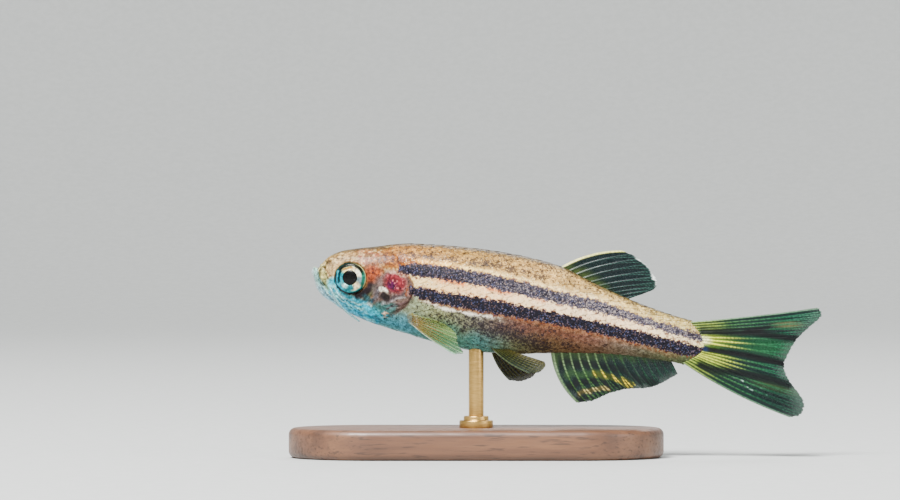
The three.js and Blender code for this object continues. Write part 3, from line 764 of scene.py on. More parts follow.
def head_colour(points):
    """Colours of the head, patch by patch."""
    sway = np.stack([lumps(points, 0.4, 7), 0 * points[:, 0], lumps(points, 0.4, 8)], 1)
    warp = (
        points + 0.11 * sway
        + 0.05 * np.stack([lumps(points, 0.15, 17), 0 * points[:, 0], lumps(points, 0.15, 18)], 1)
    )
    x, _, z = warp.T
    middle = station(4, points[:, 0])
    up = (points[:, 2] - middle) / (station(1, points[:, 0]) - middle)

    colour = graded(
        x,
        [
            (0, "#C9BE82"), (1.5, "#D3BE96"), (3, "#C6AA82"), (4.5, "#947656"), (6, "#B0824A"),
            (7.5, "#BC8A44"),
        ],
    )
    jaw = graded(
        x,
        [
            (0, "#B4D2CC"), (1.0, "#9CCED0"), (2.0, "#86D2E2"), (3, "#66CDE6"), (4.5, "#48BEDE"),
            (6, "#4A9EB4"), (8, "#5FA6A8"),
        ],
    )
    chin_line = np.interp(
        x,
        [0, 0.46, 0.61, 0.77, 0.98, 1.4, 1.8, 2.1, 2.6, 3.6, 4.6, 6, 8],
        [0.4, 0.24, -0.06, -0.42, -0.78, -1.05, -0.85, -0.9, -1.35, -1.6, -1.6, -2.05, -2.3],
    )
    colour = lay_all(
        colour,
        (jaw, smooth(-0.12, 0.16, chin_line - z)),
        (
            "#A9B88A",
            0.75 * streak(x, z, [[0.75, 0.1], [1.05, -0.4], [1.35, -0.85], [1.65, -1.15]], 0.24),
        ),
        ("#DDD59E", 0.85 * streak(x, z, [[0.58, 0.62], [0.72, 0.15], [1.0, -0.3]], 0.17)),
        (
            "#D4E2EC",
            0.65 * streak(x, z, [[0.0, 0.15], [0.12, -0.4], [0.45, -0.98], [1.1, -1.65]], 0.13),
        ),
        # Painted reflection: near-white blue along the underside of the jaw, which faces down.
        (
            "#C4ECFF",
            0.8 * streak(x, z, [[0.9, -1.3], [1.4, -1.75], [2.1, -2.15], [3.2, -2.6]], 0.22),
        ),
        ("#C58F7C", 0.6 * patch(x, z, (4.3, 1.8), (0.9, 0.45), 15)),
    )
    olive = (
        smooth(0.05, 0.5, lumps(warp * [0.7, 1, 1.2], 0.32, 24))
        * smooth(-0.3, 0.3, points[:, 2] - 1.0)
    )
    colour = lay(colour, "#8F7744", 0.55 * olive)
    rosy = (
        smooth(0.1, 0.6, lumps(warp, 0.45, 25)) * smooth(2.6, 3.6, x) * (1 - smooth(5, 6, x))
        * smooth(0.7, 1.3, z)
    )
    colour = lay(colour, "#BE7A5C", 0.45 * rosy)
    freckled = smooth(-0.05, 0.35, lumps(points, 0.2, 29)) * smooth(0.4, 0.9, z)
    colour = lay_all(
        colour,
        ("#9C8050", 0.5 * freckled),
        ("#F2E2BC", 0.45 * smooth(0.2, 0.5, lumps(points, 0.16, 30)) * smooth(0.4, 0.9, z)),
        ("#5E5430", 0.8 * smooth(0.86, 1.0, up)),
    )
    for bone, tone in (
        ([[1.1, -0.15], [1.5, -0.45], [1.95, -0.7]], "#4E4A34"),
        ([[1.2, 0.13], [1.35, -0.02], [1.52, -0.22]], "#8C6C4E"),
        ([[1.0, -0.8], [1.2, -0.94], [1.35, -1.0]], "#3E5A4A"),
    ):
        colour = lay(colour, tone, 0.8 * streak(x, z, bone, 0.055, 0.8))
    colour = lay_all(
        colour,
        ("#93794A", 0.8 * patch(points[:, 0], points[:, 2], (0.96, 0.42), (0.12, 0.12), 0)),
        ("#54481F", 0.85 * patch(points[:, 0], points[:, 2], (1.05, 0.84), (0.22, 0.08), -50, 0.5)),
    )

    # The cheek: bright blue-green bone with pale streaks under the eye.
    bone = [[1.9, -0.7], [2.4, -1.42], [3.3, -1.82], [4.3, -2.1], [5.2, -2.35], [6.2, -2.65]]
    cheek = streak(x, z, bone, 0.42)
    colour = lay(colour, "#3ED2EA", 0.95 * cheek)
    pale = smooth(0.15, 0.5, lumps(warp * [0.5, 1, 1.6], 0.3, 9))
    colour = lay(colour, "#B6F8FF", 0.85 * cheek * pale)
    for bone in (
        [[2.0, -1.0], [2.7, -1.6], [3.6, -1.85], [4.4, -2.0]],
        [[2.5, -1.75], [3.5, -2.2], [4.6, -2.45]],
        [[1.0, -1.0], [1.9, -1.8], [2.9, -2.3]],
    ):
        colour = lay_all(
            colour,
            ("#D8FCFF", 0.75 * streak(x, z, bone, 0.055, 0.9)),
            ("#1F7C94", 0.55 * streak(x, z + 0.14, bone, 0.05, 0.9)),
        )
    throat = streak(x, z, [[2.7, -2.3], [3.9, -2.6], [5.0, -2.88], [5.8, -3.0]], 0.28)
    colour = lay_all(
        colour,
        ("#45CDEC", 0.85 * throat),
        ("#B4F4FF", 0.5 * throat * pale),
        ("#6E8494", 0.6 * streak(x, z, [[5.6, -2.75], [6.3, -2.92], [7.0, -2.85]], 0.14)),
        # Painted glints: a pale cyan one low on the throat, and a white one on the cheek.
        ("#B0FAFF", 0.85 * patch(x, z, (6.8, -3.2), (0.45, 0.1), -15)),
        ("#EEF4EC", 0.9 * patch(x, z, (5.05, -1.86), (0.36, 0.17), -25, 0.4)),
    )

    # Behind the eye: an orange-red patch, then the gills' crimson through the cover.
    colour = lay_all(
        colour,
        ("#A66146", 0.88 * patch(x, z, (4.85, 0.6), (0.8, 0.8), 20, 0.45)),
        (
            "#E08A50",
            0.6 * smooth(0.1, 0.6, lumps(warp, 0.25, 10)) * patch(x, z, (4.9, 0.7), (0.7, 0.7)),
        ),
        (
            "#36303E",
            0.92 * streak(x, z, [[4.95, -0.3], [4.7, -0.85], [4.3, -1.18], [3.9, -1.4]], 0.25, 0.5),
        ),
        ("#6E7458", 0.85 * streak(x, z, [[5.25, -0.3], [5.0, -0.95], [4.6, -1.5]], 0.16)),
        ("#1B7088", 0.9 * streak(x, z, [[5.5, -0.5], [5.4, -1.1], [5.2, -1.6]], 0.17)),
    )

    colour = lay(colour, "#3A7480", 0.8 * patch(x, z, (4.72, -1.45), (0.4, 0.25), -30))

    cover = patch(x, z, (6.75, -0.6), (1.75, 1.75), 0, 0.12)
    colour = lay_all(
        colour,
        ("#84787A", 0.85 * cover * (1 - smooth(0.9, 1.5, z))),
        ("#55A0A0", 0.75 * patch(x, z, (6.3, -1.9), (1.0, 0.45), 10)),
        (
            "#85706A",
            0.6 * streak(x, z, [[7.7, 0.6], [8.12, -0.3], [8.05, -1.2], [7.3, -1.95]], 0.2),
        ),
    )
    for bone, tone in (
        ([[6.1, -1.62], [6.9, -1.12], [7.7, -0.72]], "#B9B6B8"),
        ([[6.3, -1.36], [7.0, -0.85], [7.6, -0.52]], "#5C5660"),
        ([[6.4, -1.95], [7.2, -1.52], [7.9, -1.15]], "#7A646A"),
        ([[7.2, 0.8], [7.75, 0.2], [7.9, -0.5]], "#B08A80"),
    ):
        colour = lay(colour, tone, 0.65 * streak(x, z, bone, 0.1, 0.9))
    gills = patch(x, z, (6.75, 0.2), (0.92, 0.78), -15, 0.3)
    colour = lay_all(
        colour,
        ("#A04652", 0.93 * gills),
        ("#5E2360", 0.85 * patch(x, z, (6.55, 0.0), (0.42, 0.34), -30)),
    )
    folds = smooth(0.25, 0.6, lumps(warp * [1.6, 1, 0.8], 0.16, 11))
    colour = lay_all(
        colour,
        ("#F0A0A2", 0.7 * gills * folds),
        ("#5E2030", 0.5 * gills * smooth(0.25, 0.6, lumps(warp * [0.8, 1, 1.6], 0.18, 26))),
        ("#E3C8B6", 0.75 * streak(x, z, [[5.9, 0.95], [6.6, 1.05], [7.4, 0.85]], 0.13)),
        # Painted highlight: a cream-white glint on the front of the gill cover.
        ("#FFFAEC", patch(x, z, (5.93, -0.5), (0.36, 0.19), -20, 0.3)),
        # Painted shade: a dark hollow on the gill cover, below the glint.
        ("#342C2E", 0.9 * patch(x, z, (6.12, -1.0), (0.4, 0.32), 0, 0.35)),
    )

    glints = patch(x, z, (6.9, -2.3), (0.95, 0.3), 10) * smooth(-0.1, 0.3, lumps(points, 0.22, 13))
    colour = lay(colour, "#F0D2BC", 0.9 * glints)
    return colour * (1 + 0.3 * lumps(points, 0.13, 27) + 0.2 * lumps(points, 0.32, 28))[:, None]


def ground_colour(points):
    x, _, z = points.T
    colour = lay(body_colour(points), head_colour(points), on_head(x, z))
    gold = patch(x, z, (6.4, 1.95), (1.35, 0.55), 8, 0.5)
    colour = lay_all(
        colour,
        ("#965E04", 0.95 * gold),
        ("#E8AA3C", 0.6 * gold * smooth(0.15, 0.5, lumps(points, 0.17, 35))),
        ("#4E2E14", 0.65 * gold * smooth(0.1, 0.4, lumps(points, 0.2, 12))),
    )
    return lay(colour, "#FFFAEE", white_line(points))


def white_line(points):
    """The broken, wavy white line under the second stripe."""
    x, _, z = points.T
    wavy = z + 0.035 * np.sin(x * 4.2) + 0.02 * np.sin(x * 9.7)
    bright = streak(
        x,
        wavy,
        [
            [8.7, -0.7], [9.6, -0.87], [10.4, -1.01], [11.6, -1.1], [12.6, -1.11], [14.0, -1.14],
            [15.5, -1.05], [17.0, -0.98],
        ],
        0.075,
        0.36,
    )
    bright *= 0.85 + 0.15 * smooth(-0.3, 0.2, lumps(points, 0.4, 14))
    return bright * smooth(8.6, 10.2, x) * (1 - smooth(14.8, 16.0, x))


# %% Loose pigment and shine
SPOTS = [(21.3, -2.2, 0.6, 0.3), (24.2, -1.8, 0.3, 0.14), (22.6, -1.75, 0.2, 0.1)]
BACK_SPOT_ROW = [
    (7.7, 2.62), (9.1, 2.7), (10.9, 2.84), (12.6, 2.9), (13.6, 3.0), (14.5, 3.1), (15.6, 2.95),
    (16.8, 2.95), (18.1, 2.8),
]


def pigment_share(points):
    """How dense the loose dark pigment cells are, from 0 to 1."""
    x, _, z = points.T
    above = z - stripe_edge(STRIPES[0], "top", x)
    share = 0.22 * smooth(0.3, 0.9, above) * (1 - 0.6 * on_head(x, z))
    share += 0.2 * smooth(1.2, 2.2, above)
    line = [[10.0, -1.6], [13.5, -1.95], [16.0, -2.1], [18.0, -2.4], [19.9, -2.75]]
    third = streak(x, z, line, 0.55, 0.8)
    share += third * np.interp(x, [9.5, 12, 16, 19, 20.2], [0.2, 0.5, 0.72, 0.8, 0.2])
    share += 0.12 * smooth(9, 12, x) * (1 - smooth(0.1, 0.5, z + 1.0)) * (1 - smooth(20, 23, x))
    for spot_x, spot_z, wide, tall in SPOTS:
        share += 0.7 * patch(x, z, (spot_x, spot_z), (wide, tall), -8)
    for spot_x, spot_z in BACK_SPOT_ROW:
        share += 0.8 * patch(x, z, (spot_x, spot_z), (0.4, 0.25), -5, 0.5)
    return np.clip(share * (1 - white_line(points)), 0, 1)


def silver_share(points):
    """How silvery a point is, from 0 to 1."""
    x, _, z = points.T
    low_1, top_2 = stripe_edge(STRIPES[0], "low", x), stripe_edge(STRIPES[1], "top", x)
    between = smooth(-0.1, 0.15, np.minimum(low_1 - z, z - top_2))
    above = z - stripe_edge(STRIPES[0], "top", x)
    yellow = smooth(-0.1, 0.1, above) * (1 - 0.75 * smooth(0.3, 0.8, above))
    silver = (
        0.06 * smooth(8, 10, x)
        + (0.75 * between + 0.5 * yellow + 1.0 * white_line(points)) * (1 - on_head(x, z))
    )
    return np.clip(silver, 0, 1)


def worn_share(points):
    """How thin the pigment of the upper stripe is: more so towards the tail."""
    x, _, z = points.T
    upper = z > (stripe_edge(STRIPES[0], "low", x) + stripe_edge(STRIPES[1], "top", x)) / 2
    return upper * np.interp(x, [7, 10, 15, 20, 26, 32], [0.0, 0.08, 0.35, 0.65, 0.8, 0.6])


def mark(piece, points):
    """Keeps the markings of each vertex on a piece."""
    keep_colour(piece, "ground", ground_colour(points))
    keep_number(piece, "stripe", stripe_depth(points))
    keep_number(piece, "pigment", pigment_share(points))
    keep_number(piece, "silver", silver_share(points))
    keep_number(piece, "worn", worn_share(points))


# %% [markdown]
# ## The material of skin and scales
#
# The skin of a small live fish is thin, wet and clear over layers of pigment cells.
# Three kinds show: dark ones in the stripes, yellow ones on the back, and silvery
# ones that glitter. One material reads the numbers kept above. It breaks up the
# stripes' edges with noise as fine as the cells, scatters loose dark cells and
# glints, and lies under a thin clear coat that stands for the wet surface.

# %% Material: wet fish skin
# Cells of a real fish are about 0.05 mm across; they are drawn at about 0.1 mm, the
# finest that shows in the picture.
CELL = 0.1


# The wet surface gives a soft, broad shine; the pigment under it stays deep and clear.
def wet_skin(name):
    material, shader, add = start_material(
        name, IOR=1.2, Coat_Weight=0.14, Coat_Roughness=0.1, Coat_IOR=1.25
    )

    where = add("TexCoord", out="Object")
    cells = add("TexNoise", {"Vector": where, "Scale": 1 / (CELL * MM), "Roughness": 0.6})
    clump_scale = 1 / (CELL * 2.6 * MM)
    clumps = add("TexNoise", {"Vector": where, "Scale": clump_scale, "Roughness": 0.55})
    stray_scale = 1 / (CELL * 2 * MM)
    stray = add("TexNoise", {"Vector": where, "Scale": stray_scale, "Detail": 1.0}, "Color")
    warped = add("Mix", {"Factor": 0.096 * MM, UNDER: where, OVER: stray}, **COLOURS)
    flecks = add("TexVoronoi", {"Vector": warped, "Scale": 1 / (CELL * 1.2 * MM)}, None)
    chance = add("SeparateColor", {"Color": flecks["Color"]}, None)
    dot = add("MapRange", {"Value": flecks["Distance"], LOW: 0.62, HIGH: 0.3}, **EASED)
    ground = add("Attribute", out="Color", attribute_name="ground")
    silver = add("Attribute", out="Fac", attribute_name="silver")

    # Fine light and dark in the ground, as scales and silvery cells give.
    shade = add("MapRange", {"Value": clumps, LOW: 0.32, HIGH: 0.68, TO_HIGH: 0.6}, **EASED)
    calm = {"Value": silver, LOW: 0.1, HIGH: 0.8, TO_LOW: 1.0, TO_HIGH: 0.4}
    shade = add("Math", {0: shade, 1: add("MapRange", calm, **EASED)}, **TIMES)
    colour = add("Mix", {"Factor": shade, UNDER: ground, OVER: rgba("#7E6440")}, **DARKER)
    grains = add("MapRange", {"Value": cells, LOW: 0.38, HIGH: 0.62, TO_HIGH: 0.55}, **EASED)
    calm = {"Value": silver, LOW: 0.1, HIGH: 0.8, TO_LOW: 1.0, TO_HIGH: 0.3}
    grains = add("Math", {0: grains, 1: add("MapRange", calm, **EASED)}, **TIMES)
    colour = add("Mix", {"Factor": grains, UNDER: colour, OVER: rgba("#8A7C60")}, **DARKER)
    bright = {"Value": chance["Red"], LOW: 0.45, HIGH: 0.95, TO_HIGH: 0.75}
    spark = add("MapRange", bright, **EASED)
    spark = add("Math", {0: spark, 1: add("Math", {0: dot, 1: silver}, **TIMES)}, **TIMES)
    colour = add("Mix", {"Factor": spark, UNDER: colour, OVER: rgba("#FFF0CE")}, **COLOURS)

    # Loose dark cells.
    loose = add("Attribute", out="Fac", attribute_name="pigment")
    loose = add("Math", {0: loose, 1: chance["Blue"]}, operation="SUBTRACT")
    patchy = {"Value": clumps, LOW: 0.3, HIGH: 0.7, TO_LOW: -0.15, TO_HIGH: 0.15}
    loose = add("Math", {0: loose, 1: add("MapRange", patchy, **EASED)}, **PLUS)
    star = add("MapRange", {"Value": flecks["Distance"], LOW: 0.95, HIGH: 0.5}, **EASED)
    loose = add("MapRange", {"Value": loose, LOW: -0.06, HIGH: 0.06, TO_HIGH: 0.8}, **EASED)
    loose = add("Math", {0: loose, 1: star}, **TIMES)
    colour = add("Mix", {"Factor": loose, UNDER: colour, OVER: rgba("#1A1420")}, **COLOURS)

    # The dark stripes: rust at the ragged edge, then blue-black with blue glints.
    depth = add("Attribute", out="Fac", attribute_name="stripe")
    torn = add("Math", {0: cells, 1: 0.4, 2: -0.2}, operation="MULTIPLY_ADD")
    torn = add("Math", {0: torn, 1: depth}, **PLUS)
    ragged = {"Value": clumps, LOW: 0.35, HIGH: 0.65, TO_LOW: -0.08, TO_HIGH: 0.08}
    torn = add("Math", {0: torn, 1: add("MapRange", ragged, **EASED)}, **PLUS)
    rust = add("MapRange", {"Value": torn, LOW: -0.17, HIGH: -0.02, TO_HIGH: 0.75}, **EASED)
    broken = add("MapRange", {"Value": clumps, LOW: 0.42, HIGH: 0.6}, **EASED)
    rust = add("Math", {0: rust, 1: broken}, **TIMES)
    colour = add("Mix", {"Factor": rust, UNDER: colour, OVER: rgba("#7C3A12")}, **COLOURS)
    inside = add("MapRange", {"Value": torn, LOW: -0.05, HIGH: 0.05}, **EASED)
    deep = add("MapRange", {"Value": torn, HIGH: 0.22}, **EASED)
    edge, core = rgba("#2A181A"), rgba("#110F18")
    pigment = add("Mix", {"Factor": deep, UNDER: edge, OVER: core}, **COLOURS)
    glint = {"Value": chance["Green"], LOW: 0.4, HIGH: 0.95, TO_HIGH: 0.75}
    blue = add("Math", {0: add("MapRange", glint, **EASED), 1: dot}, **TIMES)
    pigment = add("Mix", {"Factor": blue, UNDER: pigment, OVER: rgba("#434868")}, **COLOURS)
    gap = {"Value": chance["Blue"], LOW: 0.62, HIGH: 0.92, TO_HIGH: 0.6}
    gaps = add("Math", {0: add("MapRange", gap, **EASED), 1: dot}, **TIMES)
    near_edge = add("MapRange", {"Value": torn, LOW: 0.5, HIGH: 0.05, TO_LOW: 0.5}, **EASED)
    gaps = add("Math", {0: gaps, 1: near_edge}, **TIMES)
    pigment = add("Mix", {"Factor": gaps, UNDER: pigment, OVER: rgba("#80645E")}, **COLOURS)

    # Where the pigment is worn thin, grey and bare cells show in it.
    worn = add("Attribute", out="Fac", attribute_name="worn")
    thin = {"Value": clumps, LOW: 0.35, HIGH: 0.65, TO_LOW: 0.1, TO_HIGH: 0.7}
    faded = add("Math", {0: worn, 1: add("MapRange", thin, **EASED)}, **TIMES)
    pigment = add("Mix", {"Factor": faded, UNDER: pigment, OVER: rgba("#5A5662")}, **COLOURS)
    thin = {"Value": chance["Red"], LOW: 0.25, HIGH: 0.65, TO_HIGH: 0.8}
    bare = add("Math", {0: worn, 1: add("MapRange", thin, **EASED)}, **TIMES)
    bare = add("Math", {0: bare, 1: dot}, **TIMES)
    pigment = add("Mix", {"Factor": bare, UNDER: pigment, OVER: rgba("#A89890")}, **COLOURS)
    colour = add("Mix", {"Factor": inside, UNDER: colour, OVER: pigment}, **COLOURS)

    # Painted shade darkens the deep folds, and the margin of each scale is a little darker.
    fold_shade = add("Attribute", out="Fac", attribute_name="fold_shade")
    fold_shade = add("Math", {0: fold_shade, 1: 0.85}, **TIMES)
    colour = add("Mix", {"Factor": fold_shade, UNDER: colour, OVER: rgba("#241F1A")}, **COLOURS)
    margin = add("Attribute", out="Fac", attribute_name="margin")
    margin = add("Math", {0: margin, 1: 0.3}, **TIMES)
    colour = add("Mix", {"Factor": margin, UNDER: colour, OVER: rgba("#7A6A4A")}, **DARKER)
    shine = {"Value": chance["Red"], LOW: 0.3, HIGH: 0.9, TO_LOW: 0.05, TO_HIGH: 0.4}
    glitter = add("Math", {0: add("MapRange", shine, **EASED), 1: silver}, **TIMES)
    rough = add("MapRange", {"Value": chance["Green"], TO_LOW: 0.55, TO_HIGH: 0.3}, **EASED)
    bump = add("Bump", {"Strength": 0.3, "Distance": 0.02 * MM, "Height": cells})
    feed(
        shader,
        {"Base Color": colour, "Metallic": glitter, "Roughness": rough, "Normal": bump},
    )
    return material


skin_finish = wet_skin("wet_fish_skin")
mark(skin, skin_fish)
# The painted shade of the folds goes to the material.
keep_number(skin, "fold_shade", skin_fold_shade)
skin.data.materials.append(skin_finish)
shade_smooth(skin)
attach(skin, "root")
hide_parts("head", "lower_jaw", "trunk", "tail")

# %% [markdown]
# ## The gill covers
#
# A gill cover is a thin bony plate, hinged at its front and free at its rear edge,
# where it stands a little off the body and the gills open. Each one is a flattened
# ball: its front half becomes the plate's outer face, its back half the inner face
# that lies under the skin. It carries the head's markings on from the skin.

# %% Gill covers
COVER_EDGE = [
    [5.35, 1.7], [6.4, 1.95], [7.35, 1.6], [8.05, 0.85], [8.3, -0.1], [8.05, -1.15], [7.35, -1.95],
    [6.4, -2.5], [5.5, -2.72], [4.95, -2.3], [5.1, -1.4], [5.3, -0.4], [5.3, 0.7],
]
COVER_MIDDLE = np.array([6.6, -0.4])


def around(points, turns):
    """Places on a closed smooth line; turns runs from 0 to 1 once round it."""
    points = np.asarray(points, float)
    looped = np.concatenate([points[-3:], points, points[:3]])
    knots = np.arange(-3, len(points) + 3)
    at = np.mod(turns, 1) * len(points)
    return np.stack([through(knots, looped[:, 0], at), through(knots, looped[:, 1], at)], 1)


def cover_rise(x, z, out):
    """How far the plate stands over the skin, highest along its free edge."""
    rise = 0.02 + 0.12 * smooth(5.6, 8.0, x - 0.25 * z)
    far, along, _ = to_line(x, z, curve([[5.2, -1.55], [6.4, -1.75], [7.4, -1.6], [8.1, -1.2]]))
    rise -= 0.045 * np.exp(-((far / 0.06) ** 2)) * smooth(0, 0.2, along)
    far, along, _ = to_line(x, z, curve([[5.55, 1.3], [5.7, 0.2], [5.6, -0.9], [5.4, -1.9]]))
    rise += 0.035 * np.exp(-((far / 0.09) ** 2)) * np.sin(np.pi * np.clip(along, 0, 1))
    for bend, depth in (
        ([[6.2, 0.9], [7.0, 0.75], [7.8, 0.4]], 0.03),
        ([[6.1, 0.1], [7.0, -0.2], [7.9, -0.5]], 0.02),
    ):
        far, along, _ = to_line(x, z, curve(bend))
        rise -= depth * np.exp(-((far / 0.12) ** 2)) * np.sin(np.pi * np.clip(along, 0, 1))
    return rise * smooth(0, 0.12, 1.02 - out)


def make_cover(word, side):
    cover, ball, share = ball_of("gill_cover_" + word, 144, 80)
    turns = np.arctan2(ball[:, 1], -side * ball[:, 0]) / (2 * np.pi)
    outer = share <= 0.5
    out = np.where(outer, share, 1 - share) * 2
    edge = around(COVER_EDGE, -turns)
    spread = out[:, None] ** 0.8
    flat = COVER_MIDDLE + (edge - COVER_MIDDLE) * spread
    x, z = flat.T
    over = np.where(outer, cover_rise(x, z, out), -0.12 * (1 - out**6))
    y = side * (half_width(x, z) + over)
    fish = np.stack([x, y, z], 1)
    move_to(cover, onto_stand(fish))
    turn_faces_out(cover)
    mark(cover, fish)
    cover.data.materials.append(skin_finish)
    shade_smooth(cover, 60)
    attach(cover, "root")
    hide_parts("gill_cover_" + word)
    return cover


SIDES_OF_FISH = {"left": -1, "right": 1}
for word, side in SIDES_OF_FISH.items():
    cover = make_cover(word, side)
    print(cover.name, len(cover.data.polygons), "faces")

# %% [markdown]
# ## The eyes
#
# A fish's eye has no lids. Its wide black pupil, through which the round lens
# bulges, lies in a metallic iris, and a thin dark rim meets the skin. Each eye is a
# ball whose profile is drawn out to that shape: a low dome with a second, smaller
# dome for the pupil. It faces a little forwards. The iris is painted by angle and
# distance from the pupil, and a clear coat gives the wet gloss.

# %% Eyes
PUPIL = {"x": -0.05, "z": 0.06, "radius": 0.6}  # a little off the eye's middle
EYE_TURN = 0.2  # rise of its rear edge over its front edge, for each mm
IRIS_REACH = 1.26
FRONT_SHARE = 0.66  # of the ball's rings lie on the eye's front, and the rest behind it
BACK_SHARE = 0.34
EYE_OUT = 1.66  # of the iris from the middle of the head
CORNEA = {"rise": 0.36, "radius": 1.36}
EYE_BACK = 0.75  # depth of the ball behind its rim


def eye_places(share, turn, side):
    """From the middle of the cornea, round the rim, to the back of the ball."""
    front = np.clip(share / FRONT_SHARE, 0, 1)
    behind = np.clip((share - FRONT_SHARE) / BACK_SHARE, 0, 1)
    radius = np.where(
        share < FRONT_SHARE, IRIS_REACH * front, IRIS_REACH * np.cos(behind * np.pi / 2) ** 0.5
    )
    dx, dz = radius * np.cos(turn), radius * np.sin(turn)
    dome = CORNEA["rise"] * np.sqrt(np.clip(1 - (radius / CORNEA["radius"]) ** 2, 0, 1))
    from_pupil = np.hypot(dx - PUPIL["x"], dz - PUPIL["z"]) / PUPIL["radius"]
    lens = (
        0.07 * np.sqrt(np.clip(1 - from_pupil**2, 0, 1))
        - 0.03 * np.exp(-(((from_pupil - 1.06) / 0.07) ** 2))
    )
    roll = -0.1 * smooth(1.1, IRIS_REACH, radius)
    out = np.where(
        share < FRONT_SHARE,
        EYE_OUT + dome + lens + roll,
        EYE_OUT + 0.13 - 0.1 - EYE_BACK * np.sin(behind * np.pi / 2),
    )
    y = side * (out + EYE_TURN * dx)
    return np.stack([EYE["x"] + dx, y, EYE["z"] + dz], -1), dx, dz


def iris_colour(dx, dz):
    """The iris: cream and gold above, blue-green at its sides, cream glints below."""
    radius = np.hypot(dx, dz)
    turn = np.degrees(np.arctan2(dz, dx))  # 0 at the rear, 90 above
    from_pupil = np.hypot(dx - PUPIL["x"], dz - PUPIL["z"])
    points = np.stack([dx, dz, 0 * dx], 1)
    grain, coarse = lumps(points, 0.13, 21), lumps(points, 0.34, 23)
    fibres = lumps(np.stack([turn / 7, radius * 2, 0 * dx], 1), 1.0, 22)
    turn = turn + 13 * coarse
    radius = radius + 0.035 * coarse + 0.015 * grain

    def sector(middle, half, soft=14):
        away = np.abs((turn - middle + 180) % 360 - 180)
        return 1 - smooth(half - soft, half + soft, away + 5 * grain)

    def ring(inner, outer, soft=0.05):
        return (
            smooth(inner - soft, inner + soft, radius)
            * (1 - smooth(outer - soft, outer + soft, radius))
        )

    colour = all_over(dx, "#2C9C9C")
    colour = lay_all(
        colour,
        ("#1A6668", 0.85 * ring(0.9, 1.1) * sector(190, 60)),
        ("#FFEAB4", 0.95 * sector(88, 62) * ring(0.0, 0.95)),
        ("#FFF6E0", 0.9 * sector(50, 30) * ring(0.0, 0.95)),
        ("#A87A2C", 0.85 * sector(112, 34) * ring(0.8, 0.96)),
        ("#8E9CA0", 0.9 * sector(-2, 24) * ring(0.0, 0.98)),
        ("#2F7A66", 0.95 * sector(8, 38) * ring(0.93, 1.16)),
        ("#FFEBC4", 0.95 * sector(-48, 24) * ring(0.0, 1.04)),
        ("#0A7A82", 0.95 * sector(-83, 19) * ring(0.0, 1.1)),
        ("#D8F4F0", 0.95 * sector(-116, 13) * ring(0.0, 0.93)),
        ("#1FA6B4", 0.9 * sector(-165, 34) * ring(0.0, 0.93)),
        ("#5CD8E8", 0.9 * sector(160, 24) * ring(1.04, 1.2)),
        ("#28B8CC", 0.95 * sector(-142, 38) * ring(0.95, 1.18)),
    )
    colour = colour * (1 + 0.35 * grain + 0.3 * fibres)[:, None]
    colour = lay_all(
        colour,
        ("#2A2006", 0.97 * sector(95, 60) * ring(0.98, 1.2, 0.04)),
        ("#083C42", 0.95 * sector(182, 38, 8) * ring(0.86, 1.03, 0.03)),
        ("#E0D49A", 0.8 * sector(35, 60) * ring(1.19, 1.3, 0.03)),
        ("#08323C", 0.95 * sector(-120, 82) * ring(1.14, 1.4, 0.03)),
        ("#2E2E22", 0.9 * sector(110, 40) * ring(1.2, 1.4, 0.03)),
    )
    colour = np.clip(colour, 0, 1)
    pupil = 1 - smooth(PUPIL["radius"] - 0.03, PUPIL["radius"] + 0.02, from_pupil)
    return lay(colour, "#050505", pupil), pupil


def wet_eye():
    """A clear cornea over a silvery iris: a sharp wet glint over soft metal colour."""
    material, shader, add = start_material(
        "wet_eye",
        IOR=1.34,
        Specular_IOR_Level=0.15,
        Coat_Weight=0.6,
        Coat_Roughness=0.03,
        Coat_IOR=1.25,
    )
    colour = add("Attribute", out="Color", attribute_name="iris")
    where = add("TexCoord", out="Object")
    grain = add("TexNoise", {"Vector": where, "Scale": 1 / (0.09 * MM), "Roughness": 0.6})
    shade = add("MapRange", {"Value": grain, LOW: 0.3, HIGH: 0.7, TO_HIGH: 0.35}, **EASED)
    colour = add("Mix", {"Factor": shade, UNDER: colour, OVER: rgba("#8A8A78")}, **DARKER)
    pupil = add("Attribute", out="Fac", attribute_name="pupil")
    iris = add("Math", {0: 1.0, 1: pupil}, operation="SUBTRACT")
    silvery = add("Math", {0: iris, 1: 0.35}, **TIMES)
    dull = {"Value": grain, LOW: 0.3, HIGH: 0.7, TO_LOW: 0.25, TO_HIGH: 0.45}
    rough = add("MapRange", dull, **EASED)
    bump = add("Bump", {"Strength": 0.15, "Distance": 0.01 * MM, "Height": grain})
    feed(
        shader,
        {"Base Color": colour, "Metallic": silvery, "Roughness": rough, "Normal": bump},
    )
    return material


eye_finish = wet_eye()
for word, side in SIDES_OF_FISH.items():
    eye, ball, share = ball_of("eye_" + word, 128, 90)
    turn = np.arctan2(ball[:, 1], side * ball[:, 0] * -1)
    fish, dx, dz = eye_places(share, turn, side)
    move_to(eye, onto_stand(fish))
    colours, pupil = iris_colour(dx, dz)
    keep_colour(eye, "iris", colours)
    keep_number(eye, "pupil", pupil)
    turn_faces_out(eye)
    eye.data.materials.append(eye_finish)
    shade_smooth(eye)
    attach(eye, "root")
    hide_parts("eye_" + word)
    print(eye.name, len(eye.data.polygons), "faces")

# %% [markdown]
# ## The scales
#
# Thin bony scales cover the trunk and tail like roof tiles: each is rooted under the
# one in front of it, and only its rounded rear edge is free. One scale is a small
# plate of a few dozen faces. It is copied into rows that follow the body from the
# gill cover to the tail, every other column half a step lower, and each copy bends
# with the body. The rows keep their number while the body narrows, so the scales
# get smaller towards the tail, as real ones do.

# %% Even steps round the body
GIRTH_X = np.linspace(5.0, LENGTH - 0.2, 140)
GIRTH_ANGLES = np.linspace(math.pi / 2, -math.pi / 2, 121)  # down the right side
GIRTH_STEPS = 100


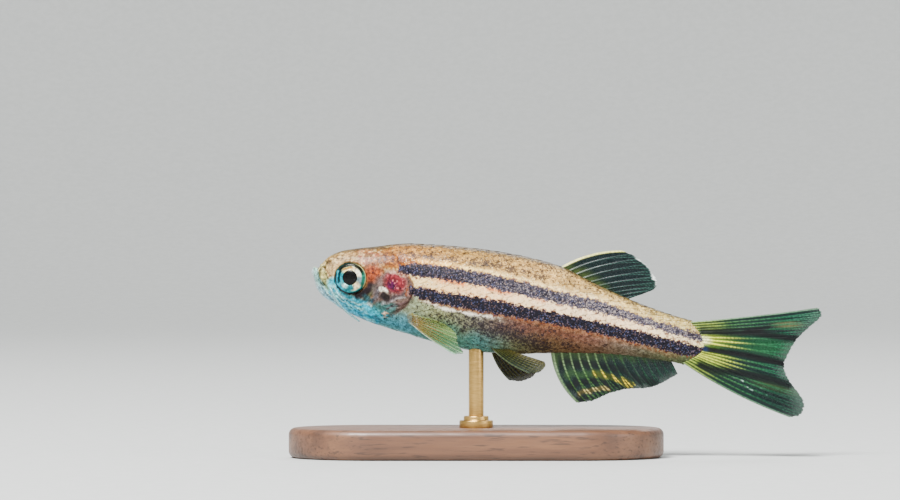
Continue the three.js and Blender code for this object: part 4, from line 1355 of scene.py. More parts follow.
def girth_table():
    """For places along the fish, the angles that step evenly from back to belly."""
    shares = np.linspace(0, 1, GIRTH_STEPS + 1)
    table = np.zeros((len(GIRTH_X), len(shares)))
    for row, x in enumerate(GIRTH_X):
        line = surface(np.full(len(GIRTH_ANGLES), x), GIRTH_ANGLES)
        walked = np.concatenate([[0], np.cumsum(np.linalg.norm(np.diff(line, axis=0), axis=1))])
        table[row] = np.interp(shares * walked[-1], walked, GIRTH_ANGLES)
    return table


GIRTH = girth_table()


def beside(x, share):
    """Places round the body: share is 0 on the back, 1 on the belly, and past them
    it runs on down or up the left side."""
    folded = np.where(share < 0, -share, np.where(share > 1, 2 - share, share))
    row = np.clip((x - GIRTH_X[0]) / (GIRTH_X[1] - GIRTH_X[0]), 0, len(GIRTH_X) - 1.001)
    col = np.clip(folded, 0, 0.99999) * GIRTH_STEPS
    i, j = row.astype(int), col.astype(int)
    u, v = row - i, col - j
    angle = (
        GIRTH[i, j] * (1 - u) * (1 - v)
        + GIRTH[i + 1, j] * u * (1 - v)
        + GIRTH[i, j + 1] * (1 - u) * v
        + GIRTH[i + 1, j + 1] * u * v
    )
    place = surface(x, angle)
    place[:, 1] *= np.where((share < 0) | (share > 1), -1, 1)
    return place


def off_skin(x, share, height):
    """Places at a height over the body's surface, along its normal."""
    step = 0.02
    along = beside(x + step, share) - beside(x - step, share)
    down = beside(x, share + step) - beside(x, share - step)
    normal = np.cross(along, down)
    normal /= np.linalg.norm(normal, axis=1)[:, None]
    return beside(x, share) + normal * height[:, None]


# %% One scale, and its copies in rows
COLUMNS = 31
ROWS = 12
FIRST_SCALE = 6.2
LAST_SCALE = 31.0
OVERLAP = 1.55
SCALE_STEPS = 4
SCALE_LIFT = 0.05  # of the free rear edge over the root
SCALE_THICK = 0.024

clear_selection()
bpy.ops.mesh.primitive_grid_add(x_subdivisions=SCALE_STEPS, y_subdivisions=SCALE_STEPS, size=2)
bpy.ops.object.mode_set(mode="EDIT")
bpy.ops.mesh.select_all(action="SELECT")
bpy.ops.mesh.extrude_region_move(TRANSFORM_OT_translate={"value": (0, 0, 1)})
bpy.ops.object.mode_set(mode="OBJECT")
pattern_scale = named("pattern_scale")
SCALE_PLACES = places_of(pattern_scale)
SCALE_FACES = [list(face.vertices) for face in pattern_scale.data.polygons]
bpy.data.objects.remove(pattern_scale)
print("one scale:", len(SCALE_FACES), "faces")


def scale_roots(side):
    """For each scale: its place along the fish and round the body, and its length."""
    rng = np.random.default_rng(5)
    pitch = np.interp(np.linspace(0, 1, COLUMNS), [0, 0.15, 0.6, 1], [0.95, 1.05, 1.0, 0.72])
    pitch *= (LAST_SCALE - FIRST_SCALE) / pitch.sum()
    for column, x in enumerate(FIRST_SCALE + np.cumsum(pitch)):
        for row in range(ROWS + 1):
            share = (row + (0.5 if column % 2 else 0.0)) / ROWS
            middle_row = share in (0.0, 1.0)  # the left piece has the rows on the middle
            if share > 1 or (middle_row and side > 0):
                continue
            place = beside(np.array([x]), np.array([share]))[0]
            if on_head(x - 0.35 * pitch[column], place[2]) > 0.5:
                continue
            yield x + rng.normal(0, 0.02), share + rng.normal(0, 0.0015), pitch[column]


def make_scales(word, side):
    u, v, upper = SCALE_PLACES.T
    rear = (u + 1) / 2
    outline = 1 - 0.42 * v**2
    roots = np.array(list(scale_roots(side)))
    x, share, length = (roots[:, [k]] for k in range(3))
    along = x + length * OVERLAP * (rear * outline - 0.5)
    round_body = share + v * 0.6 / ROWS * (0.8 + 0.2 * np.sin(np.pi * rear))
    lift = SCALE_LIFT * rear - SCALE_DEPTH - 0.01 * v**2
    lift = np.where(upper > 0.5, lift, lift - SCALE_THICK - 0.02 * (1 - rear))
    lift = np.tile(lift, len(roots))
    fish = off_skin(along.ravel(), round_body.ravel(), lift)
    fish[:, 1] *= side
    steps = len(SCALE_PLACES) * np.arange(len(roots))
    faces = np.array(SCALE_FACES)[None] + steps[:, None, None]
    scales = mesh_piece("scales_" + word, onto_stand(fish), faces.reshape(-1, 4))
    mark(scales, fish)
    keep_number(scales, "margin", np.tile(smooth(0.8, 1.0, rear), len(roots)))
    add_patches(scales, roots, side)
    turn_faces_out(scales)
    scales.data.materials.append(skin_finish)
    shade_smooth(scales, 50)
    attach(scales, "root")
    return scales


PATCH = 0.003  # width of a scale's own patch in the map for baking


def add_patches(scales, roots, side):
    """Unwraps each scale to a small patch at its root's place on the skin."""
    layer = scales.data.uv_layers.new(name="OFBake")
    corners = np.zeros(len(scales.data.loops), int)
    scales.data.loops.foreach_get("vertex_index", corners)
    which = corners // len(SCALE_PLACES)
    local = SCALE_PLACES[corners % len(SCALE_PLACES)]
    x, share, _ = roots[which].T
    across = 0.02 + 0.96 * x / LENGTH
    up = 0.5 - side * (0.02 + 0.46 * share)
    uv = np.stack([across, up], 1) + local[:, :2] * PATCH / 2
    layer.data.foreach_set("uv", uv.ravel())


for word, side in SIDES_OF_FISH.items():
    scales = make_scales(word, side)
    print(scales.name, len(scales.data.polygons), "faces")

# %% [markdown]
# ## The fins
#
# A fin is a clear skin stretched over a fan of bony rays. Each ray splits in two
# part of the way out, and again near its tip, and it is built of short joints, which
# show as fine dashes. A fin starts as a flat grid: one way runs across the rays, the
# other from root to tip. The grid is bent to the fin's outline and given a thickness
# by the Solidify modifier, whose vertex weights make the rays stand out on both
# faces. The same numbers later colour the rays and the dark bands between them.

# %% Rays
def along_line(points, knots, share):
    points = np.asarray(points, float)
    return np.stack([through(knots, points[:, k], share) for k in (0, 1)], -1)


def even_knots(points):
    return np.linspace(0, 1, len(points))


def ray_pattern(s, t, spacing, rays, split, plain):
    """How much of a ray a point is: 1 on its crest, 0 on the skin between."""
    place = s * (rays - 0.4) - 0.3
    ray = np.clip(np.round(place), 0, rays - 1)
    whole = np.isin(ray, plain)
    away = np.abs(place - ray)
    first = np.where(whole, 0, 0.24 * smooth(split, 1.25, t) * 1.6)
    second = np.where(whole, 0, 0.11 * smooth(split + 0.25, 1.3, t) * 1.6)
    away = np.abs(np.abs(away - first) - second) * spacing
    width = np.where(whole, 0.1, 0.085) * (1 - 0.55 * t)
    return np.exp(-((away / width) ** 2)), ray


WEB_THICK = 0.05  # of the skin between the rays, out past the root
RAY_THICK = 0.15  # of a ray over the skin
RAGGED = 0.014  # how far the margin runs in between the rays, as a share of their length


def make_fin(
    name,
    nodes,
    rays,
    shape,
    side_at,
    paint,
    plain=(0,),
    split=0.45,
    per_ray=12,
    rows=64,
    root_thick=0.3,
    joint=0.3,
):
    """A fin; shape(s, t) gives x and z, with s across its rays and t along them."""
    clear_selection()
    bpy.ops.mesh.primitive_grid_add(x_subdivisions=rays * per_ray, y_subdivisions=rows, size=2)
    fin = named(name)
    grid = places_of(fin)
    s, t = (grid[:, 0] + 1) / 2, (grid[:, 1] + 1) / 2
    flat = shape(s, t)
    before, after = np.clip(s - 0.004, 0, 1), np.clip(s + 0.004, 0, 1)
    spacing = np.linalg.norm(shape(after, t) - shape(before, t), axis=1)
    spacing /= (after - before) * (rays - 0.4)
    crest, ray = ray_pattern(s, t, spacing, rays, split, plain)

    # The margin runs in between the ray tips, and each ray ends at its own length.
    uneven = np.random.default_rng(rays).uniform(0, RAGGED, rays)[ray.astype(int)]
    reach = 1 - (RAGGED * (1 - crest) + uneven) * smooth(0.6, 1, t)
    flat = shape(s, t * reach)
    length = np.linalg.norm(shape(s, np.ones_like(t)) - shape(s, np.zeros_like(t)), axis=1)
    beat = np.mod(t * length / joint + 0.37 * ray, 1)
    dash = smooth(0.0, 0.12, beat) * (1 - smooth(0.72, 0.9, beat))
    dash = 1 - (1 - dash) * smooth(0.12, 0.3, t)

    x, z = flat.T
    fish = np.stack([x, side_at(x, z, t, s), z], 1)
    move_to(fin, onto_stand(fish))
    web = WEB_THICK + (root_thick - WEB_THICK) * (1 - smooth(0, 0.4, t))
    thick = web + RAY_THICK * crest * (1 - 0.65 * t) * (0.75 + 0.25 * dash)
    thick *= 1 - 0.5 * smooth(0.93, 1, t)
    group = fin.vertex_groups.new(name="thickness")
    most = thick.max()
    for vertex, weight in enumerate(thick / most):
        group.add([vertex], weight, "REPLACE")
    colour, solid = paint(x, z, s, t, crest, dash)
    keep_colour(fin, "tint", np.clip(colour, 0, 1))
    keep_number(fin, "solid", np.clip(solid, 0, 1))
    apply_modifier(fin, "SOLIDIFY", thickness=most * MM, offset=0, vertex_group="thickness")
    fin.vertex_groups.clear()
    turn_faces_out(fin)
    fin.data.materials.append(fin_finish)
    shade_smooth(fin)
    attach(fin, "root")
    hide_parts(*nodes)
    print(name, len(fin.data.polygons), "faces")
    return fin


def leading_bow(height):
    """The bow of each ray, greatest at the leading one."""
    return lambda s: height * (1 - s)


def fan(roots, tips, bow, root_knots=None, tip_knots=None):
    """The shape of a fin whose rays lead from a line of roots to a line of tips."""
    root_knots = even_knots(roots) if root_knots is None else root_knots
    tip_knots = even_knots(tips) if tip_knots is None else tip_knots

    def shape(s, t):
        root = along_line(roots, root_knots, s)
        way = along_line(tips, tip_knots, s) - root
        bend = 4 * t * (1 - t) * bow(s) / np.linalg.norm(way, axis=1)
        return np.stack(
            [
                root[:, 0] + way[:, 0] * t - way[:, 1] * bend,
                root[:, 1] + way[:, 1] * t + way[:, 0] * bend,
            ],
            1,
        )

    return shape


# %% Material: fin skin and rays
# The skin between the rays is clear and faintly coloured; a ray is milky bone.
def fin_skin():
    material, shader, add = start_material(
        "clear_fin_skin", IOR=1.3, Coat_Weight=0.12, Coat_Roughness=0.15, Coat_IOR=1.3
    )
    where = add("TexCoord", out="Object")
    cells = add("TexNoise", {"Vector": where, "Scale": 1 / (0.14 * MM), "Roughness": 0.6})
    tint = add("Attribute", out="Color", attribute_name="tint")
    shade = add("MapRange", {"Value": cells, LOW: 0.35, HIGH: 0.65, TO_HIGH: 0.5}, **EASED)
    colour = add("Mix", {"Factor": shade, UNDER: tint, OVER: rgba("#4A5A44")}, **DARKER)
    patchy = {"Value": cells, LOW: 0.3, HIGH: 0.7, TO_LOW: -0.03, TO_HIGH: 0.04}
    thin = add("MapRange", patchy, **EASED)
    solid = add("Attribute", out="Fac", attribute_name="solid")
    alpha = add("Math", {0: solid, 1: thin}, use_clamp=True, **PLUS)
    dull = {"Value": cells, LOW: 0.3, HIGH: 0.7, TO_LOW: 0.42, TO_HIGH: 0.28}
    rough = add("MapRange", dull, **EASED)
    bump = add("Bump", {"Strength": 0.2, "Distance": 0.01 * MM, "Height": cells})
    feed(shader, {"Base Color": colour, "Alpha": alpha, "Roughness": rough, "Normal": bump})
    return material


fin_finish = fin_skin()

# %% Tail fin
TAIL_MIDDLE = -0.37
TAIL_ROOTS = [[30.5, 1.44], [31.4, 0.7], [31.9, -0.15], [31.9, -0.6], [31.4, -1.25], [30.5, -1.9]]
TAIL_TIPS = [
    [40.55, 4.47], [40.95, 4.1], [40.75, 3.6], [40.3, 3.05], [39.8, 2.35], [39.3, 1.6], [38.9, 0.7],
    [38.65, -0.2], [38.65, -0.55], [38.85, -1.2], [39.3, -1.8], [40.0, -2.4], [40.6, -3.0],
    [40.8, -3.6], [40.6, -4.3], [39.9, -4.65],
]
TAIL_ROOT_KNOTS = [0, 0.24, 0.48, 0.52, 0.76, 1]
TAIL_TIP_KNOTS = np.concatenate([np.linspace(0, 0.48, 8), np.linspace(0.52, 1, 8)])


def tail_bow(s):
    upper = -0.08 * np.clip(1 - s / 0.48, 0, 1)
    lower = -0.32 * np.clip(1 - (1 - s) / 0.48, 0, 1)
    return np.where(s < 0.5, upper, lower)


def tail_side(x, z, t, s):
    out = np.clip((x - LENGTH) / 9, 0, None)
    return 0.3 * out**2 + 0.15 * out * (z - TAIL_MIDDLE) + 0.05 * t * np.sin(s * 26)


def paint_tail(x, z, s, t, crest, dash):
    out = np.clip((x - 31.5) / 8, 0, 1)
    fray = lumps(np.stack([s * 38, t * 3, 0 * s], 1), 1.0, 31)
    wave = z + 0.12 * fray
    colour = all_over(x, "#0A3A36")
    colour = lay_all(
        colour,
        ("#226A44", 0.7 * patch(x, z, (37.0, 0.6), (2.8, 0.8), 5, 0.8)),
        ("#8A8660", 0.7 * patch(x, wave, (38.3, 2.65), (1.1, 0.3), 10, 0.8)),
        ("#5C7040", 0.7 * patch(x, wave, (38.2, -2.5), (1.8, 0.35), -5, 0.8)),
        (
            "#6E8A2E",
            0.8 * (1 - smooth(0.1, 0.45, out + 0.1 * fray))
            * patch(x, z, (32.8, -0.3), (2.8, 1.5), 0, 0.7),
        ),
    )
    middle = streak(
        x,
        wave,
        [[31.8, -0.45], [32.5, -0.5], [34.6, -0.33], [36.1, -0.32], [38.6, -0.42]],
        0.24,
        0.7,
    )
    upper = streak(
        x,
        wave,
        [[31.6, 0.85], [32.5, 0.99], [34.3, 1.28], [36.0, 1.55], [38.3, 1.58], [39.8, 1.72]],
        0.26,
        0.8,
    )
    branch = streak(x, wave, [[35.0, 1.5], [35.8, 1.8], [36.8, 2.2]], 0.16, 0.8)
    lower = streak(
        x,
        wave,
        [[31.9, -1.75], [33.0, -1.95], [34.7, -1.9], [35.7, -1.85], [37.5, -1.9], [39.2, -2.1]],
        0.26,
        0.8,
    )
    edge = 1 - smooth(0.0, 0.16, np.minimum(s, 1 - s))
    bands = np.clip(middle + 0.9 * upper + 0.7 * branch + 0.85 * lower, 0, 1)
    fans = streak(x, z, [[31.8, 0.25], [33.5, 0.35], [36.2, 0.6]], 0.42, 0.6)
    fans = np.maximum(
        fans, 0.75 * streak(x, z, [[31.6, -0.9], [34.0, -1.2], [36.0, -1.45]], 0.5, 0.6)
    )
    fans = np.maximum(fans, 0.35 * (1 - smooth(0.1, 0.3, out)))
    ray_tint = graded(x, [(31.5, "#6E8A50"), (34.0, "#5C8858"), (38, "#2F7A5C"), (41, "#6E9A84")])
    ray_tint = lay(ray_tint, "#EFEE6C", fans * (1 - smooth(33.8, 36.2, x)))
    colour = lay_all(
        colour,
        (ray_tint, 0.9 * crest * (0.35 + 0.65 * dash) * (1 - 0.8 * bands)),
        ("#062426", 0.6 * patch(x, z, (38.8, -3.5), (1.9, 0.8), -10, 0.8)),
        ("#030E16", 0.95 * bands),
    )
    glitter = smooth(0.35, 0.6, lumps(np.stack([x, z, 0 * x], 1), 0.16, 34)) * crest
    colour = lay_all(
        colour,
        ("#E9FFF4", 0.8 * glitter * patch(x, z, (35.9, -2.8), (1.3, 0.3), -15, 0.7)),
        ("#F4EFC4", 0.9 * patch(x, z, (31.9, 0.2), (0.5, 0.3), 0, 0.6)),
        ("#24426E", 0.8 * patch(x, z, (32.1, -0.5), (0.25, 0.18), 0, 0.8)),
        ("#93A894", 0.75 * smooth(0.975, 0.99, np.maximum(s, 1 - s))),
    )
    solid = 0.92 + 0.06 * crest * dash + 0.2 * bands + 0.3 * (1 - smooth(0.05, 0.3, t)) + 0.1 * edge
    solid -= 0.2 * smooth(0.8, 1, t)
    return colour, solid


make_fin(
    "tail_fin",
    ["tail_fin_upper", "tail_fin_lower"],
    19,
    fan(TAIL_ROOTS, TAIL_TIPS, tail_bow, TAIL_ROOT_KNOTS, TAIL_TIP_KNOTS),
    tail_side,
    paint_tail,
    plain=(0, 18),
    rows=90,
    root_thick=0.42,
)


# %% Dorsal fin
def sunk_line(column, start, end, sink):
    """Roots of a fin along the back or belly, sunk into the body."""
    x = np.linspace(start, end, 5)
    return np.stack([x, station(column, x) + sink], 1)


DORSAL_TIPS = [
    [24.3, 6.08], [25.5, 5.72], [26.4, 5.2], [27.1, 4.5], [27.42, 3.9], [27.2, 3.45], [26.5, 3.05]
]


def dorsal_side(x, z, t, s):
    return 0.35 * t**2 + 0.04 * t * np.sin(s * 19)


def paint_dorsal(x, z, s, t, crest, dash):
    fray = lumps(np.stack([s * 20, t * 4, 0 * s], 1), 1.0, 32)
    colour = all_over(x, "#083032")
    colour = lay_all(
        colour,
        ("#5E6A30", 0.7 * (1 - smooth(0.12, 0.34, t + 0.05 * fray))),
        ("#052A30", 0.6 * patch(x, z, (24.8, 4.5), (1.9, 0.8), -35, 0.8)),
        ("#6E988A", 0.5 * crest**3 * dash * (0.45 + 0.55 * smooth(0.15, 0.5, t))),
    )
    front = 1 - smooth(0.015, 0.05, s)
    colour = lay(colour, "#F2ECA4", 0.95 * front * smooth(0.05, 0.2, t))
    margin = smooth(0.95, 0.985, t + 0.03 * fray) * smooth(0.1, 0.25, s) * (1 - smooth(0.6, 0.8, s))
    colour = lay(colour, "#F4F8F4", 0.95 * margin)
    solid = (
        0.94 + 0.06 * crest * dash + 0.2 * front + 0.15 * margin + 0.3 * (1 - smooth(0.1, 0.25, t))
    )
    solid -= 0.15 * smooth(0.6, 1, s) * smooth(0.6, 1, t)
    return colour, solid


make_fin(
    "dorsal_fin",
    ["dorsal_fin"],
    10,
    fan(sunk_line(1, 19.0, 24.6, -0.6), DORSAL_TIPS, leading_bow(0.48)),
    dorsal_side,
    paint_dorsal,
    per_ray=14,
    rows=60,
)

# %% Anal fin
ANAL_START = 19.85
ANAL_TIPS = [
    [22.85, -6.65], [23.9, -6.3], [24.9, -5.6], [25.9, -5.05], [26.9, -4.7], [28.1, -4.45],
    [28.9, -4.05], [29.6, -3.5], [30.3, -2.85],
]


def anal_side(x, z, t, s):
    return 0.22 * t * np.sin((x - ANAL_START) * 2 * math.pi / 7) + 0.04 * t * np.sin(s * 31)


def paint_anal(x, z, s, t, crest, dash):
    fray = lumps(np.stack([s * 30, t * 3, 0 * s], 1), 1.0, 33)
    low = z + 0.2 * fray
    colour = all_over(x, "#0C3836")
    colour = lay_all(
        colour,
        ("#5C7A40", 0.8 * (1 - smooth(0.1, 0.4, t + 0.08 * fray))),
        ("#46683C", 0.7 * streak(x, low, [[21.6, -4.4], [23.0, -4.2], [24.2, -4.0]], 0.3, 0.8)),
    )
    first = streak(
        x, low, [[21.1, -3.55], [23.1, -3.42], [25.6, -3.25], [27.3, -3.8], [28.6, -3.9]], 0.3, 0.8
    )
    second = streak(
        x, low, [[21.7, -5.4], [22.6, -4.95], [23.8, -4.55], [25.4, -4.72], [26.4, -4.9]], 0.28, 0.8
    )
    third = streak(x, low, [[22.6, -6.4], [23.8, -5.95], [25.0, -5.3]], 0.24, 0.9)
    dark = np.clip(0.85 * first + 0.95 * second + 0.8 * third, 0, 1)
    gold = streak(x, low, [[23.8, -4.02], [25.0, -4.02], [25.8, -4.15], [26.8, -4.45]], 0.26, 0.6)
    tan = 0.9 * streak(x, low, [[22.9, -5.75], [23.6, -5.4], [25.0, -4.98]], 0.2, 0.7)
    colour = lay_all(
        colour,
        ("#041C20", 0.95 * dark),
        ("#5E621C", 0.7 * gold),
        ("#6A6034", 0.85 * tan),
    )
    leading = 1 - smooth(0.3, 0.5, s)
    rays = graded(x, [(23, "#6A8C54"), (26, "#47704C"), (29, "#2E5E4C")])
    rays = lay(rays, "#AFC79A", leading * (1 - smooth(0.3, 0.6, t)))
    rays = lay(rays, "#FFE65A", gold)
    rays = lay(rays, "#F0DCA0", tan)
    colour = lay_all(
        colour,
        (rays, crest**1.5 * (0.2 + 0.8 * dash) * (0.85 - 0.5 * dark * (1 - leading))),
        ("#A9BC9C", 0.7 * (1 - smooth(0.0, 0.04, s))),
    )
    solid = (
        0.92 + 0.06 * crest * dash + 0.15 * dark + 0.2 * (gold + tan)
        + 0.3 * (1 - smooth(0.05, 0.2, t))
    )
    solid -= 0.2 * smooth(0.7, 1, t) * (1 - dark)
    return colour, solid


make_fin(
    "anal_fin",
    ["anal_fin"],
    15,
    fan(sunk_line(2, ANAL_START, 29.2, 0.6), ANAL_TIPS, leading_bow(-0.55)),
    anal_side,
    paint_anal,
    plain=(0, 1),
    rows=70,
)

# %% Pectoral fins
PECTORAL_ROOTS = [[8.35, -2.62], [8.2, -2.28], [8.1, -1.95]]
PECTORAL_TIPS = [
    [12.45, -4.55], [13.1, -4.32], [12.8, -3.9], [12.5, -3.45], [12.4, -3.0], [12.0, -2.65],
    [11.3, -2.32], [10.4, -2.1],
]
PECTORAL_SIDE = float(half_width(np.array(8.3), np.array(-2.28))) - 0.12


def pectoral_side(side):
    """How far the fin stands out on its side of the fish."""

    def side_at(x, z, t, s):
        out = 0.57 * smooth(0, 0.22, t) + 0.75 * t + 0.03 * t * np.sin(s * 15)
        return side * (PECTORAL_SIDE + out)

    return side_at


def paint_pectoral(x, z, s, t, crest, dash):
    colour = all_over(x, "#96AC6C")
    colour = lay(colour, "#5A8C6E", 0.85 * (1 - smooth(0.2, 0.8, s)) * smooth(0.2, 0.7, t))
    rays = graded(x, [(8.5, "#A07428"), (10.5, "#866222"), (11.6, "#8C9458"), (12.6, "#A4BCA0")])
    colour = lay_all(
        colour,
        (rays, 0.95 * crest),
        ("#C9E6DA", 0.8 * (1 - smooth(0.0, 0.06, s))),
    )
    solid = 0.26 + 0.22 * t + 0.5 * crest * (0.7 + 0.3 * dash) + 0.3 * (1 - smooth(0, 0.05, s))
    solid *= 0.25 + 0.75 * smooth(0.0, 0.3, t)
    return colour, solid


for word, side in SIDES_OF_FISH.items():
    make_fin(
        "pectoral_fin_" + word,
        ["pectoral_fin_" + word],
        9,
        fan(PECTORAL_ROOTS, PECTORAL_TIPS, leading_bow(-0.15)),
        pectoral_side(side),
        paint_pectoral,
        split=0.9,
        rows=50,
        root_thick=0.16,
    )

# %% Pelvic fins
PELVIC_ROOTS = [[15.15, -3.45], [15.75, -3.42], [16.35, -3.38]]
PELVIC_POSES = {
    "left": {
        "splay": 0.7,
        "tips": [[18.65, -4.95], [19.3, -4.75], [19.65, -4.4], [19.75, -4.05], [19.6, -3.8]],
    },
    "right": {
        "splay": 1.0,
        "tips": [[17.15, -5.85], [17.9, -5.8], [18.5, -5.58], [19.0, -5.18], [19.2, -4.7]],
    },
}


def pelvic_side(side, splay):
    return lambda x, z, t, s: side * (0.62 + splay * t)


def paint_pelvic(x, z, s, t, crest, dash):
    colour = all_over(x, "#142A12")
    colour = lay_all(
        colour,
        ("#54480E", 0.7 * smooth(0.5, 0.9, s)),
        ("#0E342C", 0.8 * (1 - smooth(0.15, 0.5, s))),
        ("#7E7A38", 0.55 * crest * dash),
        ("#86967A", 0.6 * (1 - smooth(0.0, 0.07, s))),
    )
    solid = 0.93 + 0.07 * crest * dash + 0.3 * (1 - smooth(0.1, 0.3, t)) - 0.2 * smooth(0.75, 1, t)
    return colour, solid


for word, side in SIDES_OF_FISH.items():
    pose = PELVIC_POSES[word]
    make_fin(
        "pelvic_fin_" + word,
        ["pelvic_fin_" + word],
        8,
        fan(PELVIC_ROOTS, pose["tips"], leading_bow(-0.25)),
        pelvic_side(side, pose["splay"]),
        paint_pelvic,
        rows=48,
    )

# %% [markdown]
# ## The barbels
#
# Two pairs of soft feelers hang at the mouth. Each is a curve with a round bevel,
# whose radius falls off to the tip, turned into a mesh. A path is given for the
# right side, with the barbel's radius after it.

# %% Barbels
BARBELS = {
    "mouth": (
        [
            [1.62, 0.75, -0.95], [1.78, 1.3, -1.2], [2.3, 1.48, -1.9], [3.3, 1.2, -2.75],
            [4.5, 0.95, -3.36],
        ],
        0.12,
    ),
    "snout": ([[0.98, 0.75, 0.5], [0.88, 1.25, 0.5], [0.66, 1.75, 0.34], [0.54, 2.0, 0.0]], 0.1),
}
BARBEL_TAPER = 0.68  # how much of its thickness a barbel has lost at the tip


def barbel_skin(name, dark, pale):
    """Soft skin with a little clear mucus on it, and fine darker specks."""
    material, shader, add = start_material(
        name, IOR=1.4, Coat_Weight=0.4, Coat_Roughness=0.15
    )
    where = add("TexCoord", out="Object")
    cells = add("TexNoise", {"Vector": where, "Scale": 1 / (0.12 * MM), "Detail": 3.0})
    colour = add("ValToRGB", {"Fac": cells}, stops=[(0.35, dark), (0.6, pale)])
    dull = {"Value": cells, LOW: 0.3, HIGH: 0.7, TO_LOW: 0.5, TO_HIGH: 0.35}
    rough = add("MapRange", dull, **EASED)
    bump = add("Bump", {"Strength": 0.3, "Distance": 0.01 * MM, "Height": cells})
    feed(shader, {"Base Color": colour, "Roughness": rough, "Normal": bump})
    return material


BARBEL_FINISHES = {
    "mouth": barbel_skin("soft_blue_barbel_skin", "#3E6C74", "#6E9C9C"),
    "snout": barbel_skin("soft_olive_barbel_skin", "#6A6238", "#A69E66"),
}
for kind, (path, thick) in BARBELS.items():
    for word, side in SIDES_OF_FISH.items():
        clear_selection()
        bpy.ops.curve.primitive_bezier_curve_add()
        barbel = named(f"{kind}_barbel_{word}")
        barbel.data.splines.clear()
        spline = barbel.data.splines.new("BEZIER")
        spline.bezier_points.add(len(path) - 1)
        places = onto_stand([[x, side * y, z] for x, y, z in path])
        for index, (point, place) in enumerate(zip(spline.bezier_points, places)):
            point.co = place
            point.handle_left_type = point.handle_right_type = "AUTO"
            point.radius = 1 - BARBEL_TAPER * (index / (len(path) - 1)) ** 1.3
        barbel.data.dimensions = "3D"
        barbel.data.bevel_depth = thick * MM
        barbel.data.bevel_resolution = 5
        barbel.data.resolution_u = 16
        barbel.data.use_fill_caps = True
        barbel.location = (0, 0, 0)
        pick(barbel)
        bpy.ops.object.convert(target="MESH")
        barbel = bpy.context.object
        barbel.data.materials.append(BARBEL_FINISHES[kind])
        shade_smooth(barbel)
        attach(barbel, "root")
        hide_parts(f"{kind}_barbel_{word}")

# %% [markdown]
# ## The stand
#
# A museum mounts so small a fish on a bright rod in a hardwood base. The base is a
# drum whose two halves are moved apart, which gives its round ends; then its edges
# are rounded over with a bevel. The rod is a drawn brass bar with a small turned
# collar where it enters the wood.

# %% Base
BASE = {"length": 30.0, "width": 14.0, "height": 2.4}

clear_selection()
bpy.ops.mesh.primitive_cylinder_add(
    vertices=128, radius=BASE["width"] / 2 * MM, depth=BASE["height"] * MM
)
base = named("stand_base_wood")
drum = places_of(base)
drum[:, 0] += np.sign(np.round(drum[:, 0], 7)) * (BASE["length"] - BASE["width"]) / 2 * MM
drum[:, 2] += BASE["height"] / 2 * MM
move_to(base, drum)
apply_modifier(base, "BEVEL", width=0.55 * MM, segments=6, limit_method="ANGLE")
shade_smooth(base, 40)


WALNUT_TONES = [(0.3, "#3A2418"), (0.5, "#5A3A26"), (0.7, "#6E4A30")]


def oiled_walnut():
    """Planed and oiled walnut: dark brown, with long grain and fine open pores."""
    material, shader, add = start_material(
        "oiled_walnut", IOR=1.5, Coat_Weight=0.2, Coat_Roughness=0.25
    )
    where = add("TexCoord", out="Object")
    long = add("Mapping", {"Vector": where, "Scale": (0.09, 1.0, 1.0)})
    grain = {"Vector": long, "Scale": 1 / (1.5 * MM), "Detail": 4.0, "Roughness": 0.6}
    rings = add("TexNoise", grain)
    pores = add("TexNoise", {"Vector": long, "Scale": 1 / (0.22 * MM), "Roughness": 0.7})
    colour = add("ValToRGB", {"Fac": rings}, stops=WALNUT_TONES)
    dark = add("MapRange", {"Value": pores, LOW: 0.55, HIGH: 0.68, TO_HIGH: 0.6}, **EASED)
    colour = add("Mix", {"Factor": dark, UNDER: colour, OVER: rgba("#22140D")}, **COLOURS)
    dull = {"Value": pores, LOW: 0.3, HIGH: 0.7, TO_LOW: 0.42, TO_HIGH: 0.6}
    rough = add("MapRange", dull, **EASED)
    bump = add("Bump", {"Strength": 0.3, "Distance": 0.02 * MM, "Height": pores})
    feed(shader, {"Base Color": colour, "Roughness": rough, "Normal": bump})
    return material


base.data.materials.append(oiled_walnut())
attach(base, "root")
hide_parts("stand_base")

# %% Rod and collar
ROD_RADIUS = 0.6
ROD_TOP = SNOUT_HEIGHT - ROD_AT * TURN[1] + BELLY_AT_ROD * TURN[0] + 0.5
ROD_BOTTOM = 1.2
COLLAR_RADIUS = 1.35
COLLAR_HEIGHT = 0.6
COLLAR_STEP = 0.35  # width and height of its upper step


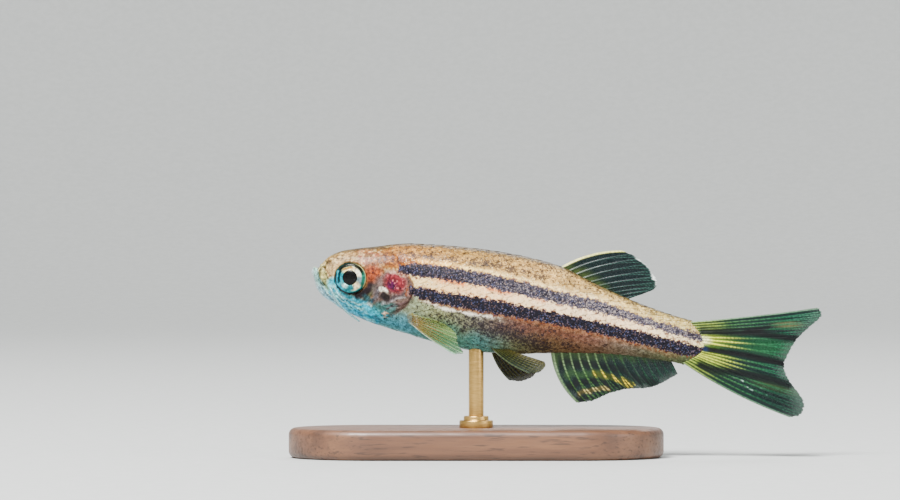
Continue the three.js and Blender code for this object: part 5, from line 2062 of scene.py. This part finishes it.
def turned_brass():
    """Drawn and turned brass: fine lines round it soften and stretch its shine."""
    material, shader, add = start_material("satin_brass", Metallic=1.0)
    where = add("TexCoord", out="Object")
    lines = add("Mapping", {"Vector": where, "Scale": (0.1, 0.1, 1.0)})
    drawn = add("TexNoise", {"Vector": lines, "Scale": 1 / (0.08 * MM), "Roughness": 0.6})
    colour = add("ValToRGB", {"Fac": drawn}, stops=[(0.3, "#B08A4A"), (0.7, "#CBA562")])
    dull = {"Value": drawn, LOW: 0.3, HIGH: 0.7, TO_LOW: 0.28, TO_HIGH: 0.42}
    rough = add("MapRange", dull, **EASED)
    bump = add("Bump", {"Strength": 0.25, "Distance": 0.01 * MM, "Height": drawn})
    feed(shader, {"Base Color": colour, "Roughness": rough, "Normal": bump})
    return material


brass = turned_brass()
clear_selection()
bpy.ops.mesh.primitive_cylinder_add(
    vertices=64, radius=ROD_RADIUS * MM, depth=(ROD_TOP - ROD_BOTTOM) * MM
)
rod = named("stand_rod_brass")
move_to(rod, places_of(rod) + [0, 0, (ROD_TOP + ROD_BOTTOM) / 2 * MM])
apply_modifier(rod, "BEVEL", width=0.06 * MM, segments=3, limit_method="ANGLE")
shade_smooth(rod, 40)
rod.data.materials.append(brass)
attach(rod, "root")
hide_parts("stand_rod")

clear_selection()
bpy.ops.mesh.primitive_cylinder_add(
    vertices=64, radius=COLLAR_RADIUS * MM, depth=COLLAR_HEIGHT * MM
)
collar = named("stand_rod_collar")
bpy.ops.object.mode_set(mode="EDIT")
bpy.ops.mesh.select_mode(type="FACE")
bpy.ops.object.mode_set(mode="OBJECT")
for face in collar.data.polygons:
    face.select = face.normal.z > 0.9
bpy.ops.object.mode_set(mode="EDIT")
bpy.ops.mesh.inset(thickness=COLLAR_STEP * MM)
bpy.ops.mesh.extrude_region_move(TRANSFORM_OT_translate={"value": (0, 0, COLLAR_STEP * MM)})
bpy.ops.mesh.inset(thickness=0.2 * MM)
bpy.ops.object.mode_set(mode="OBJECT")
move_to(collar, places_of(collar) + [0, 0, (BASE["height"] + 0.28) * MM])
apply_modifier(collar, "BEVEL", width=0.08 * MM, segments=3, limit_method="ANGLE")
shade_smooth(collar, 40)
collar.data.materials.append(brass)
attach(collar, "root")
print("rod top:", round(ROD_TOP, 2), "mm")
